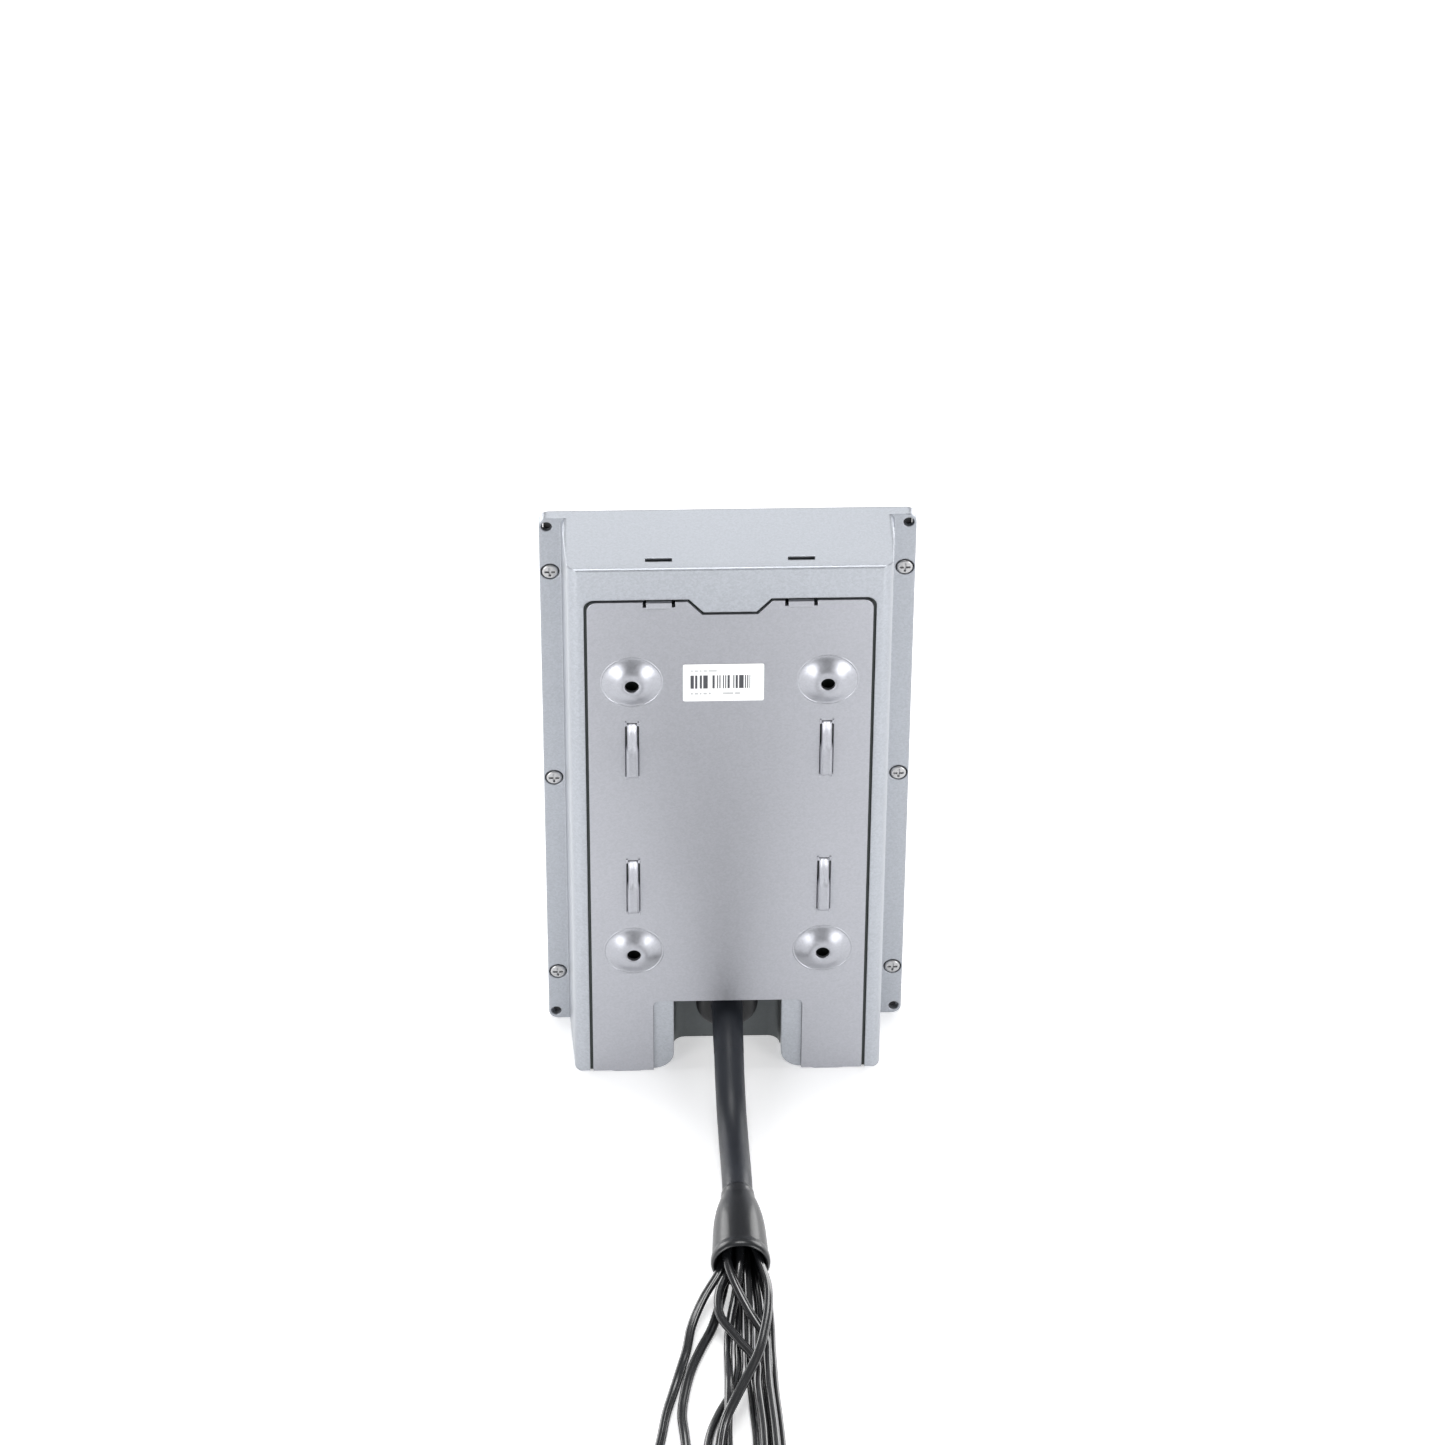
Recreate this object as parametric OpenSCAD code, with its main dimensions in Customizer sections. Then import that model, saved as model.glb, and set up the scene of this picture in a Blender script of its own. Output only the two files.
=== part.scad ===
// Wall-mounted pay terminal: a die-cast shell that hooks on a pressed wall plate, with a glass
// front, its electronics, and a fan-out lead that leaves through a gland at the back.
// X is across, +Y points out of the back towards the wall, Z is up, and the terminal stands on Z = 0.

/* [Shell] */
// Width over the two side flanges
body_w = 150; // [140:1:185]
// Height of the terminal
body_h = 262; // [235:1:320]
// Depth of the shell behind the flanges
shell_d = 35; // [32:0.5:44]
// Thickness of the shell's walls
wall = 2.5; // [2:0.1:3]
// Width of each side flange at the foot of the shell
flange_w = 8.7; // [8.7:0.1:11]
// Depth of the flanges and of the front rim, together
flange_d = 5; // [5:0.1:7]
// How far each side of the shell leans in towards the back
side_lean = 2.1; // [0.5:0.1:4]
// Radius of the upright edges at the back of the shell
edge_r = 5; // [2:0.1:5.5]
// Radius of the shell's corners seen from the back
corner_r = 3; // [1:0.1:4]
// Radius of the flange's corners
flange_r = 4; // [3.6:0.1:5]
// Small round along the long edges
soft_r = 1.2; // [0.4:0.1:1.5]

/* [Wall plate] */
// Thickness of the plate's steel sheet
plate_t = 1.5; // [1:0.1:2]
// Width of the rim of the shell beside the plate's seat
rim_w = 6.5; // [6:0.1:10]
// Height of the band of the shell above the plate's seat
band_h = 14.8; // [13:0.1:20]
// Gap all round the plate in its seat
plate_gap = 1.2; // [0.8:0.1:1.6]
// Gap between the plate and the floor of its seat
seat_gap = 0.3; // [0.2:0.05:0.5]
// Distance across between the wall screw holes
hole_dx = 78; // [60:1:84]
// Distance up between the wall screw holes
hole_dz = 140; // [120:1:150]
// Diameter of the wall screw holes
hole_d = 5.5; // [4:0.1:6.5]
// Radius of the foot of the pressed domes round those holes
dome_r = 12; // [10:0.1:13]
// Height of the domes, which stand off the wall
dome_h = 3.2; // [2:0.1:4]
// Distance across between the two hooks
hook_dx = 56; // [48:1:60]
// Width of each hook
hook_w = 10; // [8:0.1:12]
// Lift that frees the terminal from its hooks
lift = 5.5; // [4:0.5:10]
// Width of the plate's cut-out for the lead
notch_w = 62; // [56:1:66]
// Height of that cut-out
notch_h = 38.5; // [34:0.5:42]

/* [Cable bay] */
// Width of the bay
bay_w = 45; // [42:0.5:48]
// Depth of the bay from the back of the shell
bay_d = 21.5; // [20:0.5:23]
// Height of the bay
bay_h = 52; // [48:0.5:56]
// Height of the gland's axis
gland_z = 27; // [24:0.5:30]
// Diameter of the lead
lead_d = 12.4; // [10:0.1:13]

/* [Front] */
// Thickness of the cover glass
glass_t = 2; // [1.5:0.1:2.4]
// How far the glass stands out of the rim
glass_proud = 1.2; // [0.8:0.1:1.4]
// Thickness of the front frame
frame_t = 2; // [1.6:0.1:2.2]
// Diameter of the call button
button_d = 16; // [12:0.5:18]
// Travel of the call button
button_travel = 1; // [0.6:0.1:1.4]

/* [Screws] */
// Diameter of the screws' shanks
screw_d = 3; // [2.5:0.1:3.2]
// Diameter of the screws' heads
head_d = 6.6; // [5:0.1:6.8]
// Clearance round a shank
screw_fit = 0.2; // [0.1:0.05:0.3]
// Diameter of the fixing holes in the flange's corners
corner_hole_d = 4.4; // [3:0.1:4.6]

/* [Hidden] */
$fn = 48;

// Overlap that makes a cut or a joint clean
eps = 0.01;
// Gap between two pieces that only rest against each other
touch = 0.1;

// Places along Y, from the wall forward
total_d = glass_proud + flange_d + shell_d + dome_h;
wall_y = total_d / 2;
rear_y = wall_y - dome_h;
flange_y = rear_y - shell_d;
rim_y = flange_y - flange_d;
glass_y = rim_y - glass_proud;
glass_back_y = glass_y + glass_t;
frame_back_y = glass_back_y + frame_t;
seat_d = plate_t + seat_gap;
seat_y = rear_y - seat_d;
inner_y = seat_y - wall;

// Half widths of the shell at its foot and at its back
foot_x = body_w / 2 - flange_w;
back_x = foot_x - side_lean;

// Front opening and rim pocket
rim_t = 1.5;
open_x = foot_x - 2.8;
open_low_z = 7;
open_top_z = body_h - 7;
pocket_gap = 0.3;

// Seat of the wall plate
seat_x = back_x - rim_w;
seat_top_z = body_h - band_h;
seat_r = 4;
dip_top_x = 16.2;
dip_low_x = 10.4;
dip_d = 6.4;
plate_x = seat_x - plate_gap;
plate_top_z = seat_top_z - plate_gap;
hole_mid_z = plate_top_z / 2 + 13.5;

// Hooks and their pockets
hook_x = hook_dx / 2;
hook_reach = 5.6;
hook_rise = lift - 0.8;
relief_w = 1.4;
relief_h = 2.6;
hook_gap = 1.5;
pocket_wall = 1.5;
pocket_front_y = rear_y - plate_t - hook_reach - hook_gap;
pocket_low_z = plate_top_z - plate_t - lift - 0.5;
slot_w = 10.6;
slot_t = 2.3;

// Lock lips at the foot of the plate
lip_x = 42;
lip_w = 14;
lip_l = 12;
lip_screw_y = rear_y - 7.6;
lip_screw_l = 9;
csk_d = 5.6;
csk_h = 1.2;

// Label
label_z = body_h - 56;
label_h = 18.4;

// Ribs of the plate
rib_w = 5;
rib_l = 27.5;
rib_h = 3;
rib_z = 35.5;

// Screws along the flanges
flange_screw_x = body_w / 2 - 4.2;
flange_screw_low_z = 26;
flange_screw_pitch = (body_h - 2 * flange_screw_low_z) / 2;
flange_screw_z = [for (i = [0:2]) flange_screw_low_z + i * flange_screw_pitch];
sink_d = 7.6;
sink_h = 1.1;
head_h = 1.5;
corner_hole_x = body_w / 2 - 3.1;
corner_hole_low_z = 4;
corner_hole_depth = 2.6;

// Bay and gland
bay_y = rear_y - bay_d;
bay_r = 5;
bay_wall_y = bay_y - wall;
gland_hex = 24;
gland_flange_t = 4;
gland_thread_d = 20;
gland_thread_l = 9;
gland_nut_d = 26;
gland_nut_t = 8.6;
gland_fit = 0.2;
nut_y = bay_y + gland_flange_t + gland_nut_t;

// Display
panel_w = 114.6;
panel_h = body_h - 78;
panel_t = 3.4;
panel_low_z = 64;
bracket_t = 1;
bracket_over = 5;
panel_y = glass_back_y + touch;
panel_back_y = panel_y + panel_t;
bracket_y = panel_back_y + touch;

// Boards behind the display
board_t = 1.6;
board_w = 100;
board_h = body_h - 122;
board_low_z = 82;
board_y = inner_y - 18;
post_d = 6;
post_thin_d = 4.8;
post_hole_l = 6;
post_in = 5;
io_w = 32;
io_h = 50;
io_x = -46;
io_low_z = 14.2;
io_y = inner_y - 8;
spreader_w = 44;
spreader_z = board_low_z + board_h / 2 + 8;

// Front row below the display
row_z = 37;
antenna_w = 50;
antenna_h = 40;
scanner_x = -48;
scanner_w = 22;
scanner_d = 8;
scanner_lens_d = 9;
button_x = 48;
ring_wall = 2.6;
ring_flange = 2;
button_fit = 0.06;
button_len = 5;
ring_back_y = glass_y + button_len + button_travel + touch;
speaker_d = 18;
light_w = 44;
light_h = 4;
light_z = body_h - 9.4;

// Tamper switch
tamper_z = board_low_z + board_h + 6;
plunger_d = 4;
plunger_fit = 0.06;
plunger_l = 7;
plunger_travel = 1;

// Lead: the centre line from inside the gland to the boot
lead_x = -1.5;
lead_route = [[0, bay_y - 2, gland_z], [0, nut_y, gland_z], [0, 18, 26.4], [0, 26, 24.5],
    [-0.1, 34, 21.4], [-0.2, 42, 17],
    [-0.4, 50, 12.7], [-0.6, 58, 9.5], [-0.9, 66, 7.6], [-1.1, 74, 7], [-1.3, 82, 7.6],
    [-1.4, 91, 9.5], [-1.5, 100, 11.4], [-1.5, 108, 12]];
boot_y = 108;
boot_l = 42;
boot_r = 12;
boot_hollow_y = 126;
boot_lip = 1.5;
tail_d = 4;

// Tails: the stations along Y, then across and up for each tail, left to right from behind
tail_y = [126, 138, 150, 162, 174, 186, 198, 210, 222, 234, 248, 262, 278, 294, 310, 326, 342];
tail_x = [
    [5, 5.2, 6.7, 13.6, 18.6, 21, 23.8, 26.8, 29.8, 31.8, 34.4, 36.4, 39.5, 46.8, 55.6, 62.9, 66],
    [2.8, 2.8, 4.2, 7, 10.4, 15.4, 19.6, 22.2, 23.6, 22.8, 22, 22, 25, 32.6, 41.4, 48.9, 52],
    [-1.5, -1.5, -1.2, -0.6, 0, 0.4, 0.8, 3.5, 9, 13, 14.8, 15.5, 17.8, 23.4, 30, 35.7, 38],
    [-5.8, -6.4, -9, -11.8, -11.6, -9.8, -7, -2.2, 2.8, 7.5, 9.9, 10.8, 12.2, 15.4, 19.4, 22.6, 24],
    [-1.5, -1.5, -1, 0.8, 3.4, 4.6, 4.8, 5, 5.4, 6, 6.1, 6.2, 6.6, 7.5, 8.7, 9.6, 10],
    [-3.6, -3.6, -3.8, -4, -4, -3.8, -3.6, -4.2, -4.8, -5.4, -5.2, -4.6, -4.5, -4.4, -4.2, -4, -4],
    [0.6, 0.9, 2.6, 7.4, 7.4, 1, -6.2, -6.3, -7, -7.7, -7.8, -7.4, -8.6, -11.1, -14.3, -16.9, -18],
    [-5.8, -5.8, -6.8, -8, -8.2, -8, -8, -8.4, -9.2, -9.9, -10.2, -10.2, -12.6, -17.9, -24.3, -29.7, -32],
    [2.8, 3, 4, 1, -4.2, -10, -10.4, -10.7, -11.4, -12.1, -12.5, -12.4, -15.9, -24.2, -34.2, -42.5, -46],
    [-8, -8.1, -9.2, -11.6, -12.4, -12.4, -12.6, -12.9, -13.6, -14.2, -14.6, -14.6, -19.3, -30.6,
        -44, -55.3, -60]];
tail_z = [
    [12, 12, 10.8, 7, 3.6, 2.1, 2.1, 2.1, 2.1, 2.1, 2.1, 2.1, 2.1, 2.1, 2.1, 2.3, 2.6],
    [8, 8, 6.6, 4.2, 2.4, 2.1, 2.1, 2.1, 2.1, 2.1, 2.1, 2.1, 2.1, 2.1, 2.1, 2.3, 2.6],
    [8, 8, 6.4, 3.8, 2.4, 2.1, 2.1, 2.1, 2.1, 2.1, 2.1, 2.1, 2.1, 2.1, 2.1, 2.3, 2.6],
    [16, 15.8, 15, 13.4, 12.4, 12, 11.6, 10.6, 10.4, 9, 5, 2.1, 2.1, 2.1, 2.1, 2.3, 2.6],
    [16, 15.9, 13.9, 9, 5, 2.3, 4, 6.3, 6.2, 5, 2.8, 2.1, 2.1, 2.1, 2.1, 2.3, 2.6],
    [12, 12, 10.5, 7, 4, 2.3, 2.1, 2.1, 2.1, 2.1, 2.1, 2.1, 2.1, 2.1, 2.1, 2.3, 2.6],
    [12, 12, 11.4, 9.6, 8.2, 7.4, 6.4, 6, 6, 6, 6, 5.4, 3.6, 2.2, 2.1, 2.3, 2.6],
    [8, 8, 6.4, 3.8, 2.4, 2.1, 2.1, 2.1, 2.1, 2.1, 2.1, 2.1, 2.1, 2.1, 2.1, 2.3, 2.6],
    [16, 16, 15.7, 13.6, 10.2, 7.4, 6.2, 5.9, 5.9, 5.9, 5.9, 5.9, 4.8, 2.5, 2.1, 2.3, 2.6],
    [12, 12, 10, 6, 3, 2.1, 2.1, 2.1, 2.1, 2.1, 2.1, 2.1, 2.1, 2.1, 2.1, 2.3, 2.6]];
tail_count = len(tail_x);
tail_end_y = tail_y[len(tail_y) - 1];
// Width, height and length of each tail's connector
plug_size = [[11, 11, 26], [16, 14, 32], [9, 7, 20], [12, 8, 20], [9, 7, 20], [9, 7, 20],
    [9, 7, 20], [10, 8, 22], [12, 7, 26], [9, 7, 20]];
plug_low_z = 0.1;

// Points of an arc about (cx, cy) in the plane, from angle a to angle b
function arc(cx, cy, r, a, b, n = 8) =
    [for (i = [0:n]) [cx + r * cos(a + (b - a) * i / n), cy + r * sin(a + (b - a) * i / n)]];
function unit(v) = v / norm(v);
// Direction of a route at a point; its two ends face straight along Y
function heading(path, i) = let (v = path[min(i + 1, len(path) - 1)] - path[max(i - 1, 0)])
    i > 0 && i < len(path) - 1 ? unit(v) : [0, sign(v[1]), 0];
function ease(t) = t * t * (3 - 2 * t);

// Share of a dome's height, from its foot at 0 to its crest at 1
function dome_rise(t) = 0.35 * ease(t) + 0.65 * pow(sin(90 * t), 1.25);
function tail_route(k) = [for (i = [0:len(tail_y) - 1]) [tail_x[k][i], tail_y[i], tail_z[k][i]]];

// A box from its lowest corner to its highest
module span(low, high) {
    translate(low) cube(high - low);
}

// Lies a flat outline drawn in X and Z down along Y, from y0 to y1
module across(y0, y1) {
    translate([0, y1, 0]) rotate([90, 0, 0]) linear_extrude(height = y1 - y0) children();
}

// A cylinder along Y
module rod(x, z, y0, y1, d) {
    translate([x, y0, z]) rotate([-90, 0, 0]) cylinder(h = y1 - y0, d = d);
}

// A square outline with round corners
module round_square(w, h, r) {
    polygon(concat(arc(w / 2 - r, h / 2 - r, r, 0, 90), arc(r - w / 2, h / 2 - r, r, 90, 180),
        arc(r - w / 2, r - h / 2, r, 180, 270), arc(w / 2 - r, r - h / 2, r, 270, 360)));
}

// Both sides of the centre plane
module both_sides() {
    children();
    mirror([1, 0, 0]) children();
}

// A tube swept along a route, with flat ends
module tube(path, d, sides = 8) {
    n = len(path);
    rings = [for (i = [0:n - 1]) let (t = heading(path, i), s = unit(cross([0, 0, 1],
        t)), u = cross(t, s))
        for (k = [0:sides - 1]) path[i] + d / 2 * (cos(360 * k / sides) * s + sin(360 * k / sides) * u)];
    skin = [for (i = [0:n - 2]) for (k = [0:sides - 1]) let (m = (k + 1) % sides)
        [i * sides + k, i * sides + m, (i + 1) * sides + m, (i + 1) * sides + k]];
    start = [for (k = [0:sides - 1]) sides - 1 - k];
    stop = [for (k = [0:sides - 1]) (n - 1) * sides + k];
    polyhedron(points = rings, faces = concat(skin, [start, stop]));
}

// A pan head screw that points forward, its head's seat at y
module pan_screw(x, z, y, l) {
    rod(x, z, y - l, y + eps, screw_d);
    translate([x, y, z]) rotate([-90, 0, 0]) difference() {
        rotate_extrude() polygon(concat([[0, 0], [head_d / 2, 0]],
            arc(head_d / 2 - 0.7, head_h - 0.7, 0.7, 0, 90, 5), [[0, head_h + 0.2]]));
        for (a = [0, 90]) rotate([0, 0, a]) translate([-head_d * 0.32, -0.4, head_h - 0.9])
            cube([head_d * 0.64, 0.8, 2]);
    }
}

// Plan of the shell's outside, with leaning sides and round upright edges at the back
module shell_plan(inset, front_y, back_y, r) {
    lean = side_lean / shell_d;
    half_front = foot_x + (flange_y - front_y) * lean - inset;
    half_back = foot_x + (flange_y - back_y) * lean - inset;
    polygon(concat([[half_front, front_y]], arc(half_back - r, back_y - r, r, 0, 90),
        arc(r - half_back, back_y - r, r, 90, 180), [[-half_front, front_y]]));
}

// Side view of the shell's outside, with a small round at the back
module shell_side() {
    polygon(concat([[flange_y - flange_d, 0]], arc(rear_y - soft_r, soft_r, soft_r, -90, 0, 5),
        arc(rear_y - soft_r, body_h - soft_r, soft_r, 0, 90, 5), [[flange_y - flange_d, body_h]]));
}

module shell_outside() {
    intersection() {
        linear_extrude(height = body_h) shell_plan(0, flange_y - eps, rear_y, edge_r);
        translate([-body_w / 2, 0, 0]) rotate([90, 0, 90]) linear_extrude(height = body_w) shell_side();
        across(flange_y - 1, rear_y + 1) translate([0, body_h / 2])
            round_square(foot_x * 2, body_h, corner_r);
    }
}

module flange_outside() {
    across(rim_y, flange_y) translate([0, body_h / 2]) round_square(body_w, body_h, flange_r);
}

// Outline of the plate's seat in X and Z, smaller all round by the given gap
module seat_outline(gap, low_z) {
    top_z = seat_top_z - gap;
    half = seat_x - gap;
    r = seat_r;
    polygon(concat([[half, low_z]], arc(half - r, top_z - r, r, 0, 90),
        [[dip_top_x + gap / 2, top_z], [dip_low_x + gap / 2, top_z - dip_d],
        [-dip_low_x - gap / 2, top_z - dip_d], [-dip_top_x - gap / 2, top_z]],
        arc(r - half, top_z - r, r, 90, 180), [[-half, low_z]]));
}

// Room for a hook behind the band of the shell, open to the plate's seat below and to a slot above
module hook_pocket() {
    room_w = hook_w + 3;
    top_z = body_h - wall;
    span([hook_x - room_w / 2, pocket_front_y, pocket_low_z],
        [hook_x + room_w / 2, seat_y + eps, seat_top_z - 0.6]);
    span([hook_x - room_w / 2, pocket_front_y, seat_top_z - 1], [hook_x + room_w / 2, inner_y, top_z]);
    slot_y = rear_y - plate_t - hook_reach + plate_t / 2;
    span([hook_x - slot_w / 2, slot_y - slot_t / 2, top_z - 1],
        [hook_x + slot_w / 2, slot_y + slot_t / 2, body_h + 1]);
}

// The bay: a room with round inner corners, and a mouth whose foot rounds out to the plate's cut-out
module cable_bay() {
    translate([0, 0, -1]) linear_extrude(height = bay_h + 1) polygon(concat(
        [[bay_w / 2, rear_y + 1]], arc(bay_w / 2 - bay_r, bay_y + bay_r, bay_r, 0, -90, 6),
        arc(bay_r - bay_w / 2, bay_y + bay_r, bay_r, -90, -180, 6), [[-bay_w / 2, rear_y + 1]]));
    mouth_r = (notch_w - bay_w) / 2;
    both_sides() across(bay_y + bay_r, rear_y + 1) polygon(concat([[bay_w / 2 - 1, mouth_r],
        [bay_w / 2 - 1, -1],
        [notch_w / 2, -1]], arc(notch_w / 2, mouth_r, mouth_r, 270, 180, 8)));
}

module board_post(x, z, y, d = post_d) {
    rod(x, z, y, inner_y + eps, d);
}

board_posts = [for (x = [-1, 1]) for (z = [board_low_z + post_in, board_low_z + board_h - post_in])
    [x * (board_w / 2 - post_in), z]];
io_posts = [for (z = [io_low_z + post_in, io_low_z + io_h - post_in]) [io_x - io_w / 2 + post_in, z]];
bracket_posts = [for (x = [-1, 1]) for (z = [panel_low_z + 20, panel_low_z + panel_h - 20])
    [x * (panel_w / 2 + 2.9), z]];

module rear_housing() color("silver") difference() {
    union() {
        difference() {
            union() {
                shell_outside();
                flange_outside();
            }
            translate([0, 0, wall]) linear_extrude(height = body_h - 2 * wall)
                shell_plan(wall, frame_back_y + flange_d, inner_y, edge_r - wall + 0.6);
            across(rim_y - 1, inner_y - 8) translate([0, (open_low_z + open_top_z) / 2])
                round_square(open_x * 2, open_top_z - open_low_z, 3);
            across(rim_y - 1, frame_back_y) translate([0, body_h / 2])
                round_square(body_w - 2 * rim_t, body_h - 2 * rim_t, flange_r - rim_t);
        }
        span([-bay_w / 2 - wall, bay_wall_y, 1], [bay_w / 2 + wall, inner_y + 1, bay_h + wall]);
        both_sides() span([hook_x - hook_w / 2 - 3, pocket_front_y - pocket_wall,
            pocket_low_z - pocket_wall],
            [hook_x + hook_w / 2 + 3, inner_y + 1, body_h - 1]);
        both_sides() span([lip_x - 5, lip_screw_y - 5, 1],
            [lip_x + 5, inner_y + 1, seat_d + lip_screw_l + 3]);
        for (p = board_posts) board_post(p[0], p[1], board_y + board_t);
        for (p = io_posts) board_post(p[0], p[1], io_y + board_t);
    }
    across(seat_y, rear_y + 1) seat_outline(0, -1);
    both_sides() hook_pocket();
    cable_bay();
    rod(0, gland_z, bay_wall_y - 1, bay_y + 1, gland_thread_d + 2 * gland_fit);
    both_sides() span([lip_x - lip_w / 2 - 0.5, rear_y - lip_l - 0.5, -1],
        [lip_x + lip_w / 2 + 0.5, rear_y + 1, plate_t + seat_gap]);
    both_sides() translate([lip_x, lip_screw_y, 0])
        cylinder(h = plate_t + lip_screw_l + 1, d = screw_d + 2 * screw_fit);
    both_sides() for (z = flange_screw_z) {
        rod(flange_screw_x, z, frame_back_y - 1, flange_y + 1, screw_d + 2 * screw_fit);
        rod(flange_screw_x, z, flange_y - sink_h, flange_y + 1, sink_d);
    }
    both_sides() for (z = [corner_hole_low_z, body_h - corner_hole_low_z])
        rod(corner_hole_x, z, flange_y - corner_hole_depth, flange_y + 1, corner_hole_d);
    for (p = board_posts) rod(p[0], p[1],
        board_y, board_y + board_t + post_hole_l, screw_d + 2 * screw_fit);
    for (p = io_posts) rod(p[0], p[1], io_y, io_y + board_t + 5, screw_d + 2 * screw_fit);
    rod(0, tamper_z, inner_y - 1, seat_y + 1, plunger_d + 2 * plunger_fit);
    for (i = [-2:2]) span([button_x - 8, -5 + i * 4, -1], [button_x + 8, -3 + i * 4, wall + 1]);
    across(frame_back_y - eps, frame_back_y + 0.7) gasket_outline();
}

// Ring that the gasket lies in, round the front opening
module gasket_outline(gap = 0) {
    difference() {
        translate([0, body_h / 2]) round_square(open_x * 2 + 4.8 - 2 * gap,
            open_top_z - open_low_z + 5.6 - 2 * gap, 5);
        translate([0, body_h / 2]) round_square(open_x * 2 + 1.6 + 2 * gap,
            open_top_z - open_low_z + 2.4 + 2 * gap, 4);
    }
}

module housing_gasket() color("dimgray") across(frame_back_y + 0.02, frame_back_y + 0.68)
    gasket_outline(0.1);

// Section of a pressed dome, from its foot to the hole
dome_crest_r = hole_d / 2 + 1.9;
dome_steps = 10;
dome_points = [for (i = [0:dome_steps])
    [dome_r - (dome_r - dome_crest_r) * i / dome_steps, dome_h * dome_rise(i / dome_steps)]];

module dome_solid(drop) {
    rotate([-90, 0, 0]) rotate_extrude() polygon(concat([[0, -plate_t - 1]], [[dome_r, -plate_t - 1]],
        [for (p = dome_points) [p[0], p[1] - drop]], [[0, dome_h - drop]]));
}

// Side view of a rib: a long ramp at the top, a flat and a short run-out at the foot
module rib_side(h, drop, trim) {
    half = rib_l / 2 - trim;
    polygon([[-plate_t - 1, half], [-drop, half], [h * 0.5 - drop, half - 3],
        [h - drop, half - rib_l * 0.42],
        [h - drop, 3 - half], [h * 0.6 - drop, 1 - half], [-drop, -half], [-plate_t - 1, -half]]);
}

module rib(x, z, w, h, drop, trim) {
    translate([x - w / 2, rear_y, z]) rotate([90, 0, 90]) linear_extrude(height = w)
        rib_side(h, drop, trim);
}

module wall_holes(d) {
    for (x = [-1, 1]) for (z = [-1, 1]) rod(x * hole_dx / 2, hole_mid_z + z * hole_dz / 2,
        rear_y - 5, wall_y + 1, d);
}

module wall_plate() color("lightgray") difference() {
    union() {
        difference() {
            across(rear_y - plate_t, rear_y) seat_outline(plate_gap, 0);
            across(rear_y - plate_t - 1, rear_y + 1) difference() {
                translate([0, notch_h / 2 - 3]) round_square(notch_w, notch_h + 6, 2.6);
                translate([-body_w, -2 * notch_h]) square([2 * body_w, notch_h]);
            }
            both_sides() for (s = [-1, 1]) span([hook_x + s * (hook_w / 2 + relief_w / 2)
                - relief_w / 2, rear_y - plate_t - 1,
                plate_top_z - relief_h], [hook_x + s * (hook_w / 2 + relief_w / 2)
                    + relief_w / 2, rear_y + 1, plate_top_z + 1]);
            wall_holes(2 * dome_r - 1);
        }
        for (x = [-1, 1]) for (z = [-1, 1]) intersection() {
            translate([x * hole_dx / 2, rear_y, hole_mid_z + z * hole_dz / 2]) dome_solid(0);
            span([-body_w, rear_y - plate_t, 0], [body_w, wall_y + 1, body_h]);
        }
        for (x = [-1, 1]) for (z = [-1, 1]) intersection() {
            rib(x * hole_dx / 2, hole_mid_z + z * rib_z, rib_w, rib_h, 0, 0);
            span([-body_w, rear_y - plate_t, 0], [body_w, wall_y + 1, body_h]);
        }
        both_sides() {
            span([hook_x - hook_w / 2, rear_y - plate_t - hook_reach, plate_top_z - plate_t],
                [hook_x + hook_w / 2, rear_y - plate_t + eps, plate_top_z]);
            span([hook_x - hook_w / 2, rear_y - plate_t - hook_reach, plate_top_z - plate_t],
                [hook_x + hook_w / 2, rear_y - hook_reach, plate_top_z + hook_rise]);
            span([lip_x - lip_w / 2, rear_y - lip_l, 0],
                [lip_x + lip_w / 2, rear_y - plate_t + eps, plate_t]);
        }
    }
    for (x = [-1, 1]) for (z = [-1, 1]) {
        translate([x * hole_dx / 2, rear_y, hole_mid_z + z * hole_dz / 2]) dome_solid(plate_t);
        rib(x * hole_dx / 2, hole_mid_z + z * rib_z, rib_w - 2 * plate_t, rib_h, plate_t, plate_t);
    }
    wall_holes(hole_d);
    both_sides() translate([lip_x, lip_screw_y, -1])
        cylinder(h = plate_t + 2, d = screw_d + 2 * screw_fit);
    both_sides() translate([lip_x, lip_screw_y, -eps])
        cylinder(h = csk_h + eps, d1 = csk_d + 0.3, d2 = screw_d + 0.3);
}

module lock_screws() color("gray") both_sides() translate([lip_x, lip_screw_y, 0.1]) difference() {
    union() {
        cylinder(h = csk_h, d1 = csk_d, d2 = screw_d);
        cylinder(h = plate_t + lip_screw_l - 0.5, d = screw_d);
    }
    translate([0, 0, -eps]) cylinder(h = 1, d = 2);
}

module housing_screws() color("whitesmoke") both_sides() for (z = flange_screw_z)
    pan_screw(flange_screw_x, z, flange_y - sink_h, flange_y - sink_h - glass_back_y - touch);

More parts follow.
